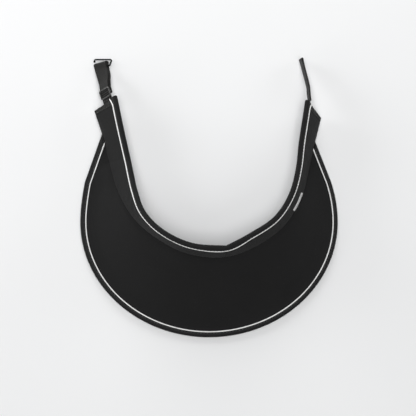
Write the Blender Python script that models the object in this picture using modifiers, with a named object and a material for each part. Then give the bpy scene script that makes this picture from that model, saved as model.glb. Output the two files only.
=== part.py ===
"""Soft neck collar: a crescent bib with a stand-up neck band, closed behind the neck by a strap and hook.

The collar lies on its bib rim with the neck band standing up and leaning over the neck opening.
X runs across the collar, +Y runs from the front of the neck to the back, +Z is up.
Lengths below are millimetres; MM turns them into Blender's metres as each mesh is written.
"""
from math import asin, cos, exp, pi, radians, sin, sqrt

import bmesh
import bpy
import numpy as np
from mathutils import Matrix

MM = 0.001
ORIGIN_Y = 23.0            # distance from the widest line of the bib to the middle of the whole collar

# Bib rim: two half ellipses with a straight taper up to each corner, and a fuller left side.
RIM_HALF_WIDTH = 120.7
RIM_FRONT = 108.1
RIM_BACK = 124.0
TAPER_START_Y = 37.6
LEFT_CORNER = (-100.3, 82.9)
RIGHT_CORNER = (99.2, 76.3)
LEFT_FULLNESS = (1.8, 47.0, 17.0)        # how far out, at which Y, and over what length
RIGHT_FULLNESS = (-0.5, 40.0, 20.0)

# Stations from the left end round the front to the right end:
# the neck seam (the lower edge on the wings), then the top edge above it.
STATIONS = (
    ((-107.0, 104.5), (-85.3, 116.6)),
    ((-99.5, 82.6), (-78.2, 82.1)),
    ((-91.8, 53.4), (-71.7, 53.6)),
    ((-83.5, 28.2), (-66.0, 29.2)),
    ((-68.7, 4.6), (-58.1, 9.0)),
    ((-46.9, -13.9), (-40.9, -7.9)),
    ((-18.9, -27.6), (-15.5, -19.5)),
    ((14.0, -30.7), (15.5, -22.0)),
    ((43.9, -20.3), (36.8, -10.7)),
    ((68.4, -2.4), (59.0, 3.9)),
    ((84.5, 22.7), (73.2, 24.1)),
    ((91.9, 47.1), (80.6, 48.5)),
    ((98.6, 75.9), (83.8, 75.5)),
    ((104.2, 97.9), (89.6, 113.0)),
)
CENTRE_SEAM = 7            # station where two band covers join and the top edge turns a corner
LEFT_SPLIT, RIGHT_SPLIT = 0.80, 12.30    # where the wings flex
BIB_LEFT, BIB_RIGHT = 1.28, 11.72        # where the bib is wide enough to hold its layers

# Layers, measured from the middle of the padding; the band is padded more thinly than the bib.
LAYER_GAP = 0.3
COVER = 0.6
BINDING = 0.6
BIB_CORE_HALF = 1.0
BIB_COVER_TOP = BIB_CORE_HALF + LAYER_GAP + COVER
BIB_BINDING_TOP = BIB_COVER_TOP + LAYER_GAP + BINDING
BAND_CORE_HALF = 0.65
BAND_COVER_TOP = BAND_CORE_HALF + LAYER_GAP + COVER
BAND_BINDING_TOP = BAND_COVER_TOP + LAYER_GAP + BINDING
BASE_Z = BIB_BINDING_TOP   # height of the padding's middle at the rim, whose binding lies on the ground
BAND_HEIGHT = 31.0
SEAM_SETBACK = 1.4         # the layers stop short of the neck seam, which its tape fills
EDGE_SETBACK = 1.6         # the layers stop short of a bound edge
RIM_BINDING_WIDTH = 4.2
TOP_BINDING_WIDTH = 4.2
END_BINDING_WIDTH = 5.6
BINDING_ROUNDING = 1.0     # a binding turns over its edge within this depth
RIM_PIPING_RADIUS = 0.65
TOP_PIPING_RADIUS = 0.55
SEAM_TAPE_RADIUS = 0.9
HEM_GAP = 0.2              # the end bindings start this far up from the wing's lower edge
FLEX_GAP = 0.8             # half of the gap at each wing flex line
SLOPE = 0.404              # rise of the bib towards the neck
FLAT_RIM = 6.0             # the rim lies flat this far in
BEND_END = 21.0            # and reaches its full slope here

# Columns and rows of the sheets
BIB_COLUMNS = 42
BIB_ROWS = 5
RIM_CROWDING = 1.5         # rows of the bib lie closer together towards its rim
LEFT_COLUMNS, RIGHT_COLUMNS = 22, 20     # columns of the band, left and right of the centre seam
WING_COLUMNS = 4
END_ROWS = 3
TAB_COLUMNS = 4
ANCHOR_COLUMNS = 8
LEFT_LOOP_COLUMNS, RIGHT_LOOP_COLUMNS = 6, 7
FOLD_TURNS = 6             # columns round the fold at a strap loop's far end

# Straps
TAPE_WIDTH = 12.0
TAPE = 0.7
LEFT_SEWN_HEIGHT = 19.2    # along the left end, from the lower edge to the middle of the tape
RIGHT_SEWN_HEIGHT = 24.4
SEWN_GAP = 1.2
RIGHT_FLEX_GAP = 2.4       # between the right strap's sewn end and its loop
ANCHOR_LENGTH = 13.6
SLIDER_PLACE = 7.6         # from the sewn end to the slider's middle
SLIDER_LENGTH = 10.0
SLIDER_WIDTH = 16.6
SLIDER_BAR = 1.8
SLIDER_THICK = 1.4
SLIDER_CORNER, SLIDER_INNER_CORNER = 1.6, 0.8
BAR_DROP = 2.15            # the centre bar sits this far under the tape
BAR_THICK = 1.0
BAR_WIDTH = 1.2
POST_WIDTH, POST_INSET = 2.2, 0.2        # posts that carry the centre bar, set in from the ring's sides
WRAP_LEG = 4.2             # length of the strap's end beyond the centre bar
WRAP_EASE = 1.15           # the strap stands off the bar at its turn
LEG_OFFSET = 1.35          # from the middle of a strap loop to each of its two layers
LOOP_END_ACROSS = (0.985, 0.17, 0.0)     # width direction of the left loop at the hook
HOOK_WIRE = 0.7
HOOK_BAR_Z = 2.1
HOOK_LEFT, HOOK_RIGHT = -107.9, -91.6
HOOK_BAR_Y, HOOK_TOP_Y = 146.6, 152.6
HOOK_BEND = 1.3
HOOK_TIP_SETBACK = 0.4     # the tip stands this far in from the lower bar's end
HOOK_TIP_DROP = 2.1
LOOP_ROUTE = ((-97.5, 129.5, 9.5), (-98.7, 136.0, 6.6), (-100.8, 143.0, 2.3), (-102.0, 148.0, 2.1))
LOOP_SHIFT = 2.6           # sideways lie of the under layer at the hook
HOOK_TILT = -9.8
RIGHT_ROUTE = ((91.7, 120.2, 16.4), (91.4, 125.6, 14.0), (88.6, 139.0, 10.0), (86.3, 151.25, 7.6))
TAB_START, TAB_END = 9.62, 10.22         # stations between which the side tab is sewn in the neck seam
TAB_THICK = 0.5
TAB_STAND_OFF = 2.2        # out from the seam and up from it
TAB_HEIGHT = 8.0
TAB_LEAN = 2.2             # its top edge leans back towards the band
UPRIGHT = (0.0, 0.0, 1.0)

COLLECTION = bpy.data.collections.new("neck_collar")
CUTTERS = bpy.data.collections.new("cutters")


def clear_scene():
    for old in list(bpy.data.objects):
        bpy.data.objects.remove(old, do_unlink=True)
    bpy.context.scene.collection.children.link(COLLECTION)
    bpy.context.scene.collection.children.link(CUTTERS)


def material(name, colour, roughness, metallic=0.0):
    mat = bpy.data.materials.new(name)
    mat.use_nodes = True
    shader = mat.node_tree.nodes["Principled BSDF"]
    shader.inputs["Base Color"].default_value = (*colour, 1.0)
    shader.inputs["Roughness"].default_value = roughness
    shader.inputs["Metallic"].default_value = metallic
    mat.diffuse_color = (*colour, 1.0)
    return mat


def unit(vector):
    return vector / np.linalg.norm(vector)


# Driving curves

def spline(points, t, corner=None):
    """A smooth curve through the points at place t, with an optional corner at one of them."""
    t = min(max(t, 0.0), len(points) - 1.0)
    i = min(int(t), len(points) - 2)
    s = t - i
    p0, p1 = np.array(points[i], float), np.array(points[i + 1], float)
    start = p1 - p0 if i in (0, corner) else (p1 - np.array(points[i - 1])) / 2
    last = i + 1 in (len(points) - 1, corner)
    end = p1 - p0 if last else (np.array(points[i + 2]) - p0) / 2
    return ((2 * s**3 - 3 * s**2 + 1) * p0 + (s**3 - 2 * s**2 + s) * start
            + (3 * s**2 - 2 * s**3) * p1 + (s**3 - s**2) * end)


def route(points, share_along):
    """Point of a smooth curve through a route's points, from 0 at its start to 1 at its end."""
    return spline(points, share_along * (len(points) - 1))


def fullness(y, shape):
    out, middle, length = shape
    return out * exp(-((y - middle) / length)**2)


def rim_outline():
    """The bib rim from the left corner round the front to the right corner, and its length so far."""
    turn = asin(TAPER_START_Y / RIM_BACK)
    points = [np.array(LEFT_CORNER)]
    for i in range(41):
        a = turn * (1 - i / 40)
        points.append(np.array((-RIM_HALF_WIDTH * cos(a), RIM_BACK * sin(a))))
    for i in range(1, 200):
        a = pi * i / 200
        points.append(np.array((-RIM_HALF_WIDTH * cos(a), -RIM_FRONT * sin(a))))
    for i in range(41):
        a = turn * i / 40
        points.append(np.array((RIM_HALF_WIDTH * cos(a), RIM_BACK * sin(a))))
    points.append(np.array(RIGHT_CORNER))
    for point in points[1:-1]:
        if point[0] < 0:
            point[0] -= fullness(point[1], LEFT_FULLNESS)
        else:
            point[0] += fullness(point[1], RIGHT_FULLNESS)
    points = np.array(points)
    steps = np.linalg.norm(np.diff(points, axis=0), axis=1)
    return points, np.concatenate(([0.0], np.cumsum(steps)))


RIM_POINTS, RIM_LENGTHS = rim_outline()


def rim(f):
    """Point on the rim at the share f of its length."""
    at = f * RIM_LENGTHS[-1]
    return np.array([np.interp(at, RIM_LENGTHS, RIM_POINTS[:, k]) for k in (0, 1)])


def rim_inward(f):
    """Unit direction into the bib, square to the rim."""
    step = 0.01
    along = unit(rim(min(f + step, 1.0)) - rim(max(f - step, 0.0)))
    return np.array((-along[1], along[0]))


SEAM_XY = [station[0] for station in STATIONS]
TOP_XY = [station[1] for station in STATIONS]
CORNER_LEFT, CORNER_RIGHT = 1.0, 12.0    # stations of the bib's corners
SEAM_T = np.linspace(CORNER_LEFT, CORNER_RIGHT, 221)
SEAM_RUN = np.array([spline(SEAM_XY, t) for t in SEAM_T])
SEAM_LENGTHS = np.concatenate(([0.0], np.cumsum(np.linalg.norm(np.diff(SEAM_RUN, axis=0), axis=1))))


def share(t):
    """Share of the seam's length, corner to corner, at station t; the rim is read at the same share."""
    return float(np.interp(t, SEAM_T, SEAM_LENGTHS) / SEAM_LENGTHS[-1])


def rise(depth):
    """Height of the bib above its rim, at a depth in from the rim."""
    if depth < FLAT_RIM:
        return 0.0
    if depth < BEND_END:
        return SLOPE * (depth - FLAT_RIM)**2 / (2 * (BEND_END - FLAT_RIM))
    return SLOPE * (depth - (FLAT_RIM + BEND_END) / 2)


def bib_width(t):
    """Depth of the neck seam in from the rim at station t; nothing on the wings."""
    if not CORNER_LEFT < t < CORNER_RIGHT:
        return 0.0
    f = share(t)
    return max(0.0, float(np.dot(spline(SEAM_XY, t) - rim(f), rim_inward(f))))


def seam(t):
    return np.array((*spline(SEAM_XY, t), BASE_Z + rise(bib_width(t))))


def top(t):
    low = seam(t)
    xy = spline(TOP_XY, t, CENTRE_SEAM)
    reach = np.linalg.norm(xy - low[:2])
    return np.array((*xy, low[2] + sqrt(BAND_HEIGHT**2 - reach**2)))


def band_middle(t, height):
    low = seam(t)
    return low + (top(t) - low) * (height / BAND_HEIGHT)


def band_normal(t):
    """Outward direction of the band at station t, the same from its lower to its top edge."""
    step = 0.04
    ahead, behind = min(t + step, len(STATIONS) - 1.0), max(t - step, 0.0)
    along = band_middle(ahead, BAND_HEIGHT / 2) - band_middle(behind, BAND_HEIGHT / 2)
    normal = unit(np.cross(top(t) - seam(t), along))
    return normal if normal[2] > 0 else -normal


def band_point(t, height, offset):
    return band_middle(t, height) + band_normal(t) * offset


def bib_middle(t, v):
    """The bib's middle surface: v is 0 at the bound rim and 1 at the neck seam."""
    f = share(t)
    inward = rim_inward(f)
    outer = rim(f) + inward * EDGE_SETBACK
    inner = spline(SEAM_XY, t)
    inner = inner - unit(inner - outer) * SEAM_SETBACK
    xy = outer + (inner - outer) * v
    depth = float(np.dot(xy - rim(f), inward))
    return np.array((*xy, BASE_Z + rise(depth)))


def bib_point(t, v, offset):
    step = 0.02
    along = bib_middle(t + step, v) - bib_middle(t - step, v)
    across = bib_middle(t, min(v + step, 1.0)) - bib_middle(t, max(v - step, 0.0))
    normal = unit(np.cross(along, across))
    return bib_middle(t, v) + (normal if normal[2] > 0 else -normal) * offset


# Building tools

def shifted(point):
    return (point[0] * MM, (point[1] - ORIGIN_Y) * MM, point[2] * MM)


def place(obj, mat):
    obj.data.materials.append(mat)
    COLLECTION.objects.link(obj)
    return obj


def sheet(name, point, columns, rows, thickness, mat, smooth=True):
    """A sheet whose outer face is point(u, v), thickened inwards by a Solidify modifier."""
    bm = bmesh.new()
    bmesh.ops.create_grid(bm, x_segments=columns, y_segments=rows, size=0.5)
    for vertex in bm.verts:
        vertex.co = shifted(point(vertex.co.x + 0.5, vertex.co.y + 0.5))
    mesh = bpy.data.meshes.new(name)
    bm.to_mesh(mesh)
    bm.free()
    if smooth:
        mesh.shade_smooth()
    obj = place(bpy.data.objects.new(name, mesh), mat)
    solid = obj.modifiers.new("thickness", "SOLIDIFY")
    solid.thickness = thickness * MM
    solid.offset = -1.0
    solid.use_even_offset = True
    return obj


def tube(name, points, radius, mat, resolution=1):
    """A round cord or wire through its points, with closed ends."""
    curve = bpy.data.curves.new(name, "CURVE")
    curve.dimensions = "3D"
    curve.bevel_depth = radius * MM
    curve.bevel_resolution = resolution
    curve.use_fill_caps = True
    line = curve.splines.new("POLY")
    line.points.add(len(points) - 1)
    for target, point in zip(line.points, points):
        target.co = (*shifted(point), 1.0)
    return place(bpy.data.objects.new(name, curve), mat)


def spread(start, end, u):
    return start + (end - start) * u


def lengthwise(t):
    """Millimetres of band for one station at t, for setting back an end by a length."""
    step = 0.05
    low, high = max(t - step, 0.0), min(t + step, len(STATIONS) - 1.0)
    stretch = band_middle(high, BAND_HEIGHT / 2) - band_middle(low, BAND_HEIGHT / 2)
    return np.linalg.norm(stretch) / (high - low)


# Bib

def bib_layer(name, offset, thickness, mat):
    def point(u, v):
        return bib_point(spread(BIB_LEFT, BIB_RIGHT, u), v**RIM_CROWDING, offset)
    return sheet(name, point, BIB_COLUMNS, BIB_ROWS, thickness, mat)


FOLD_STEPS = 5             # stretches of a binding, from one edge round the fold to the other


def edge_profile(v, width, half_thickness):
    """A binding folded round an edge: depth in from the edge and offset from its middle."""
    flat = half_thickness - BINDING_ROUNDING
    profile = ((width, half_thickness), (BINDING_ROUNDING, half_thickness), (0.0, flat),
               (0.0, -flat), (BINDING_ROUNDING, -half_thickness), (width, -half_thickness))
    return profile[round(v * FOLD_STEPS)]


def bib_binding(mat):
    def point(u, v):
        f = share(spread(BIB_LEFT, BIB_RIGHT, u))
        depth, offset = edge_profile(1 - v, RIM_BINDING_WIDTH, BIB_BINDING_TOP)
        xy = rim(f) + rim_inward(f) * depth
        return np.array((*xy, BASE_Z + offset))
    return sheet("bib_binding", point, BIB_COLUMNS, FOLD_STEPS, BINDING, mat)


def bib_piping(mat):
    depth = RIM_BINDING_WIDTH + LAYER_GAP + RIM_PIPING_RADIUS
    height = BASE_Z + BIB_COVER_TOP + LAYER_GAP + RIM_PIPING_RADIUS
    points = []
    for i in range(BIB_COLUMNS + 1):
        f = share(spread(BIB_LEFT, BIB_RIGHT, i / BIB_COLUMNS))
        points.append((*(rim(f) + rim_inward(f) * depth), height))
    return tube("bib_piping", points, RIM_PIPING_RADIUS, mat)


def neck_seam_tape(mat):
    points = [seam(spread(BIB_LEFT, BIB_RIGHT, i / BIB_COLUMNS)) for i in range(BIB_COLUMNS + 1)]
    return tube("neck_seam_tape", points, SEAM_TAPE_RADIUS, mat)


def side_tab(mat):
    def point(u, v):
        t = spread(TAB_START, TAB_END, u)
        base = seam(t)
        xy = base[:2] + unit(band_normal(t)[:2]) * (TAB_STAND_OFF - TAB_LEAN * v)
        return np.array((*xy, base[2] + TAB_STAND_OFF + TAB_HEIGHT * v))
    return sheet("side_tab", point, TAB_COLUMNS, 1, TAB_THICK, mat)


# Neck band

def band_span(first, last, gap_first, gap_last):
    """Stations of a stretch of band, set back from its ends by gaps in millimetres."""
    return first + gap_first / lengthwise(first), last - gap_last / lengthwise(last)


def along_band(span, columns, u):
    """Station at the share u of a stretch; one that crosses the centre seam has a column on it."""
    if len(span) == 2:
        return spread(*span, u)
    column = u * columns
    if column <= LEFT_COLUMNS:
        return spread(span[0], span[1], column / LEFT_COLUMNS)
    return spread(span[1], span[2], (column - LEFT_COLUMNS) / RIGHT_COLUMNS)


def band_layer(name, span, columns, offset, thickness, mat):
    def point(u, v):
        height = spread(SEAM_SETBACK, BAND_HEIGHT - EDGE_SETBACK, v)
        return band_point(along_band(span, columns, u), height, offset)
    return sheet(name, point, columns, 1, thickness, mat)


def band_binding(name, span, columns, mat):
    def point(u, v):
        depth, offset = edge_profile(v, TOP_BINDING_WIDTH, BAND_BINDING_TOP)
        return band_point(along_band(span, columns, u), BAND_HEIGHT - depth, offset)
    return sheet(name, point, columns, FOLD_STEPS, BINDING, mat)


def band_piping(name, span, columns, mat):
    height = BAND_HEIGHT - TOP_BINDING_WIDTH - LAYER_GAP - TOP_PIPING_RADIUS
    offset = BAND_COVER_TOP + LAYER_GAP + TOP_PIPING_RADIUS
    places = [along_band(span, columns, i / columns) for i in range(columns + 1)]
    return tube(name, [band_point(t, height, offset) for t in places], TOP_PIPING_RADIUS, mat)


def end_binding(name, end, inward, mat):
    """Ribbed tape folded round a wing's slanted end, below the top binding."""
    reach = BAND_HEIGHT - TOP_BINDING_WIDTH - LAYER_GAP

    def point(u, v):
        depth, offset = edge_profile(v, END_BINDING_WIDTH, BAND_BINDING_TOP)
        t = end + inward * depth / lengthwise(end)
        along = u if inward < 0 else 1 - u
        return band_point(t, spread(HEM_GAP, reach, along), offset)
    return sheet(name, point, END_ROWS, FOLD_STEPS, BINDING, mat)


def build_front(cloth, foam, lining, binding, piping):
    start, end = band_span(LEFT_SPLIT, RIGHT_SPLIT, FLEX_GAP, FLEX_GAP)
    whole, columns = (start, CENTRE_SEAM, end), LEFT_COLUMNS + RIGHT_COLUMNS
    left = band_span(LEFT_SPLIT, CENTRE_SEAM, FLEX_GAP, LAYER_GAP / 2)
    right = band_span(CENTRE_SEAM, RIGHT_SPLIT, LAYER_GAP / 2, FLEX_GAP)
    band_layer("band_cover_left", left, LEFT_COLUMNS, BAND_COVER_TOP, COVER, cloth)
    band_layer("band_cover_right", right, RIGHT_COLUMNS, BAND_COVER_TOP, COVER, cloth)
    band_layer("band_foam", whole, columns, BAND_CORE_HALF, 2 * BAND_CORE_HALF, foam)
    band_layer("band_lining", whole, columns, COVER - BAND_COVER_TOP, COVER, lining)
    band_binding("band_binding", whole, columns, binding)
    band_piping("band_piping", whole, columns, piping)


def build_wing(side, cloth, foam, lining, binding, piping, ribbed):
    end = 0 if side == "left" else len(STATIONS) - 1
    inward = 1 if side == "left" else -1
    if side == "left":
        inner = band_span(end, LEFT_SPLIT, EDGE_SETBACK, FLEX_GAP)
        outer = band_span(end, LEFT_SPLIT, 0.0, FLEX_GAP)
        trimmed = band_span(end, LEFT_SPLIT, END_BINDING_WIDTH + LAYER_GAP, FLEX_GAP)
    else:
        inner = band_span(RIGHT_SPLIT, end, FLEX_GAP, EDGE_SETBACK)
        outer = band_span(RIGHT_SPLIT, end, FLEX_GAP, 0.0)
        trimmed = band_span(RIGHT_SPLIT, end, FLEX_GAP, END_BINDING_WIDTH + LAYER_GAP)
    band_layer(side + "_wing_cover", inner, WING_COLUMNS, BAND_COVER_TOP, COVER, cloth)
    band_layer(side + "_wing_foam", inner, WING_COLUMNS, BAND_CORE_HALF, 2 * BAND_CORE_HALF, foam)
    band_layer(side + "_wing_lining", inner, WING_COLUMNS, COVER - BAND_COVER_TOP, COVER, lining)
    band_binding(side + "_wing_binding", outer, WING_COLUMNS, binding)
    band_piping(side + "_wing_piping", trimmed, WING_COLUMNS, piping)
    end_binding(side + "_end_binding", end, inward, ribbed)


# Straps, slider and hook

def end_frame(end, height):
    """At a wing's slanted end: a point on it, along its edge, out of it and away from its face."""
    point = band_middle(end, height)
    edge = unit(top(end) - seam(end))
    normal = band_normal(end)
    normal = unit(normal - edge * np.dot(normal, edge))
    out = np.cross(normal, edge)
    return point, edge, (out if out[1] > 0 else -out), normal


def left_frame():
    point, edge, out, normal = end_frame(0, LEFT_SEWN_HEIGHT)
    return point + out * SEWN_GAP, edge, out, normal


def ribbon_frame(path, across_start, across_end, t):
    """Middle, along, width and face directions of a twisting ribbon."""
    step = 0.02
    middle = path(t)
    along = unit(path(min(t + step, 1.0)) - path(max(t - step, 0.0)))
    across = spread(np.array(across_start), np.array(across_end), 1 - (1 - t)**2)
    across = unit(across - along * np.dot(across, along))
    face = np.cross(across, along)
    return middle, along, across, face


def folded_loop(name, points, across_start, across_end, columns, shift, mat):
    """One tape laid out along a route, folded over at the far end and laid back beside itself."""
    def path(t):
        return route(points, t)
    def point(u, v):
        i = round(u * (2 * columns + FOLD_TURNS))
        if i <= columns:
            t, angle = i / columns, pi / 2
        elif i < columns + FOLD_TURNS:
            t, angle = 1.0, pi / 2 - pi * (i - columns) / FOLD_TURNS
        else:
            t, angle = 1 - (i - columns - FOLD_TURNS) / columns, -pi / 2
        middle, along, across, face = ribbon_frame(path, across_start, across_end, t)
        reach = LEG_OFFSET + TAPE / 2
        lie = shift * t * (0.5 - 0.5 * sin(angle))
        side = TAPE_WIDTH * (0.5 - v) + lie
        return middle + across * side + face * reach * sin(angle) + along * reach * cos(angle)
    return sheet(name, point, 2 * columns + FOLD_TURNS, 2, TAPE, mat)


def anchor_tape(mat):
    start, across, out, normal = left_frame()

    def point(u, v):
        return start + out * ANCHOR_LENGTH * u + across * TAPE_WIDTH * (0.5 - v) + normal * TAPE / 2
    return sheet("left_anchor_tape", point, 3, 2, TAPE, mat)


def bar_wrap(mat):
    """The strap's sewn end, folded round the slider's centre bar."""
    start, across, out, normal = left_frame()
    middle = start + out * SLIDER_PLACE - normal * BAR_DROP
    reach = BAR_THICK / 2 + LAYER_GAP + TAPE
    steps = FOLD_TURNS + 2

    def point(u, v):
        i = round(u * steps)
        if i in (0, steps):
            along, up = WRAP_LEG, (reach if i else -reach)
        else:
            a = -pi / 2 - pi * (i - 1) / FOLD_TURNS
            along, up = reach * cos(a) * WRAP_EASE, reach * sin(a)
        return middle + across * TAPE_WIDTH * (0.5 - v) + out * along + normal * up
    return sheet("slider_tape_end", point, steps, 2, TAPE, mat)


def oriented(middle, x_axis, y_axis, z_axis):
    """World matrix, in metres, of a piece modelled flat at the origin."""
    rows = [[x_axis[k], y_axis[k], z_axis[k], shifted(middle)[k]] for k in range(3)]
    return rows + [[0.0, 0.0, 0.0, 1.0]]


def rounded_box(length, width, corner, turn_steps=4):
    """Outline of a rounded rectangle round the origin."""
    points = []
    for quarter in range(4):
        cx = (length / 2 - corner) * (1 if quarter in (0, 3) else -1)
        cy = (width / 2 - corner) * (1 if quarter in (0, 1) else -1)
        for i in range(turn_steps + 1):
            a = pi / 2 * (quarter + i / turn_steps)
            points.append((cx + corner * cos(a), cy + corner * sin(a)))
    return points


def plate(name, outlines, thickness):
    """A flat plate with holes, as a mesh with welded faces."""
    curve = bpy.data.curves.new(name, "CURVE")
    curve.dimensions = "2D"
    curve.fill_mode = "BOTH"
    curve.extrude = thickness / 2 * MM
    for outline in outlines:
        line = curve.splines.new("POLY")
        line.use_cyclic_u = True
        line.points.add(len(outline) - 1)
        for target, point in zip(line.points, outline):
            target.co = (point[0] * MM, point[1] * MM, 0.0, 1.0)
    flat = bpy.data.objects.new(name + "_outline", curve)
    CUTTERS.objects.link(flat)
    bpy.context.view_layer.update()
    evaluated = flat.evaluated_get(bpy.context.evaluated_depsgraph_get())
    mesh = bpy.data.meshes.new_from_object(evaluated)
    bpy.data.objects.remove(flat)
    bm = bmesh.new()
    bm.from_mesh(mesh)
    bmesh.ops.remove_doubles(bm, verts=bm.verts, dist=1e-6)
    bm.to_mesh(mesh)
    bm.free()
    return mesh


def hidden_block(name, size, centre, matrix):
    """A block that is joined to another piece by a Boolean."""
    bm = bmesh.new()
    bmesh.ops.create_cube(bm, size=1.0)
    for vertex in bm.verts:
        vertex.co = [(vertex.co[k] * size[k] + centre[k]) * MM for k in range(3)]
    mesh = bpy.data.meshes.new(name)
    bm.to_mesh(mesh)
    bm.free()
    block = bpy.data.objects.new(name, mesh)
    CUTTERS.objects.link(block)
    block.matrix_world = matrix
    block.hide_render = True
    block.display_type = "WIRE"
    return block


def slider(mat):
    """A ring that the tape runs under, with a centre bar that the tape runs over."""
    start, across, out, normal = left_frame()
    middle = start + out * SLIDER_PLACE
    matrix = Matrix(oriented(middle, across, out, np.cross(across, out)))
    up = 1.0 if np.dot(np.cross(across, out), normal) > 0 else -1.0
    ring_height = up * (TAPE / 2 + LAYER_GAP + SLIDER_THICK / 2)
    outer = rounded_box(SLIDER_WIDTH, SLIDER_LENGTH, SLIDER_CORNER)
    inner = rounded_box(SLIDER_WIDTH - 2 * SLIDER_BAR, SLIDER_LENGTH - 2 * SLIDER_BAR, SLIDER_INNER_CORNER)
    mesh = plate("slider_frame", (outer, inner), SLIDER_THICK)
    mesh.transform(Matrix.Translation((0.0, 0.0, ring_height * MM)))
    obj = place(bpy.data.objects.new("slider_frame", mesh), mat)
    obj.matrix_world = matrix
    low, high = -BAR_DROP - BAR_THICK / 2, TAPE / 2 + LAYER_GAP + SLIDER_THICK / 2
    post_x = (SLIDER_WIDTH - SLIDER_BAR) / 2
    post = (SLIDER_BAR - POST_INSET, POST_WIDTH, high - low)
    pieces = [(post, (side * post_x, 0.0, up * (high + low) / 2), side) for side in (-1, 1)]
    pieces.append(((2 * post_x, BAR_WIDTH, BAR_THICK), (0.0, 0.0, -up * BAR_DROP), 0))
    for size, centre, side in pieces:
        block = hidden_block("slider_block_%d" % side, size, centre, matrix)
        join = obj.modifiers.new("join_%d" % side, "BOOLEAN")
        join.operation = "UNION"
        join.solver = "EXACT"
        join.object = block
    return obj


def arc(cx, cy, radius, start, end, steps=5):
    angles = [start + (end - start) * i / steps for i in range(steps + 1)]
    return [(cx + radius * cos(radians(a)), cy + radius * sin(radians(a))) for a in angles]


def hook(mat):
    """An open wire hook: its lower bar lies in the strap's fold, its top bar ends in a turned tip."""
    tip_x = HOOK_LEFT + HOOK_TIP_SETBACK
    outline = [(HOOK_LEFT - HOOK_WIRE, HOOK_BAR_Y)]
    outline += arc(HOOK_RIGHT - HOOK_BEND, HOOK_BAR_Y + HOOK_BEND, HOOK_BEND, -90, 0)
    outline += arc(HOOK_RIGHT - HOOK_BEND, HOOK_TOP_Y - HOOK_BEND, HOOK_BEND, 0, 90)
    outline += arc(tip_x + HOOK_BEND, HOOK_TOP_Y - HOOK_BEND, HOOK_BEND, 90, 180)
    outline.append((tip_x, HOOK_TOP_Y - HOOK_TIP_DROP))
    tilt = radians(HOOK_TILT)
    points = [(x, HOOK_BAR_Y + (y - HOOK_BAR_Y) * cos(tilt), HOOK_BAR_Z + (y - HOOK_BAR_Y) * sin(tilt))
              for x, y in outline]
    return tube("hook", points, HOOK_WIRE, mat, 2)


def right_anchor(mat):
    """The right strap's sewn end: cut on a slant to suit the wing's end, it turns to stand on edge."""
    point, edge, out, normal = end_frame(len(STATIONS) - 1, RIGHT_SEWN_HEIGHT)
    start = point + out * SEWN_GAP
    ahead = unit(np.array(RIGHT_ROUTE[1]) - np.array(RIGHT_ROUTE[0]))
    finish = np.array(RIGHT_ROUTE[0]) - ahead * RIGHT_FLEX_GAP
    direction = unit(finish - start)

    def point_at(u, v):
        across = unit(spread(edge, np.array(UPRIGHT), u))
        face = unit(np.cross(across, direction))
        return spread(start, finish, u) + across * TAPE_WIDTH * (0.5 - v) + face * TAPE
    return sheet("right_anchor_tape", point_at, ANCHOR_COLUMNS, 2, 2 * TAPE, mat)


def build_straps(ribbed, smooth_tape, metal):
    sewn_across = tuple(left_frame()[1])
    anchor_tape(ribbed)
    bar_wrap(ribbed)
    slider(metal)
    folded_loop("left_loop_tape", LOOP_ROUTE, sewn_across, LOOP_END_ACROSS, LEFT_LOOP_COLUMNS, LOOP_SHIFT,
                smooth_tape)
    hook(metal)
    right_anchor(ribbed)
    folded_loop("right_loop_tape", RIGHT_ROUTE, UPRIGHT, UPRIGHT, RIGHT_LOOP_COLUMNS, 0.0, smooth_tape)


def main():
    clear_scene()
    cloth = material("black_cloth", (0.018, 0.018, 0.018), 0.85)
    foam = material("grey_foam", (0.20, 0.20, 0.20), 0.9)
    lining = material("charcoal_lining", (0.03, 0.03, 0.032), 0.8)
    binding = material("black_binding", (0.012, 0.012, 0.012), 0.7)
    piping = material("white_piping", (0.75, 0.75, 0.73), 0.6)
    ribbed = material("ribbed_tape", (0.04, 0.038, 0.035), 0.7)
    tape = material("elastic_tape", (0.035, 0.034, 0.033), 0.7)
    metal = material("dark_metal", (0.10, 0.11, 0.11), 0.35, 0.9)
    white = material("white_tab", (0.8, 0.8, 0.8), 0.7)
    bib_layer("bib_cover", BIB_COVER_TOP, COVER, cloth)
    bib_layer("bib_core", BIB_CORE_HALF, 2 * BIB_CORE_HALF, foam)
    bib_layer("bib_lining", COVER - BIB_COVER_TOP, COVER, lining)
    bib_binding(binding)
    bib_piping(piping)
    neck_seam_tape(binding)
    side_tab(white)
    build_front(cloth, foam, lining, binding, piping)
    build_wing("left", cloth, foam, lining, binding, piping, ribbed)
    build_wing("right", cloth, foam, lining, binding, piping, ribbed)
    build_straps(ribbed, tape, metal)


main()
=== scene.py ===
"""Soft neck collar: cloth, padding, bindings, piping, stitching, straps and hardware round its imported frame.

Laid out as an add-on: sizes and colours are properties, each group of pieces is an operator.
Design lengths are millimetres, as in the part's own design; MM turns them into metres.
"""
from math import cos, pi, radians, sin

import bmesh
import bpy
import numpy as np
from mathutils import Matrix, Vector


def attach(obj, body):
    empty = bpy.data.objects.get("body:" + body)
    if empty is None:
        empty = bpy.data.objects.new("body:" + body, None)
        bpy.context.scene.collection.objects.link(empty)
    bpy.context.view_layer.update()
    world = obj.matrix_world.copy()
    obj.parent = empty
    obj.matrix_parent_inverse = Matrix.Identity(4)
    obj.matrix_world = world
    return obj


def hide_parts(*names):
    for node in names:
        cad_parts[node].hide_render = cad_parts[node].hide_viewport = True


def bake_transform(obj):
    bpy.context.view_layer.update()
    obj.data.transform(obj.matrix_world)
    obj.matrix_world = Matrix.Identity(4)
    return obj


bl_info = {
    "name": "Soft Neck Collar",
    "version": (1, 0, 0),
    "blender": (4, 5, 0),
    "location": "View3D > Sidebar > Collar",
    "description": "Builds the cloth, trims, straps and hardware of a soft neck collar",
    "category": "Object",
}

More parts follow.
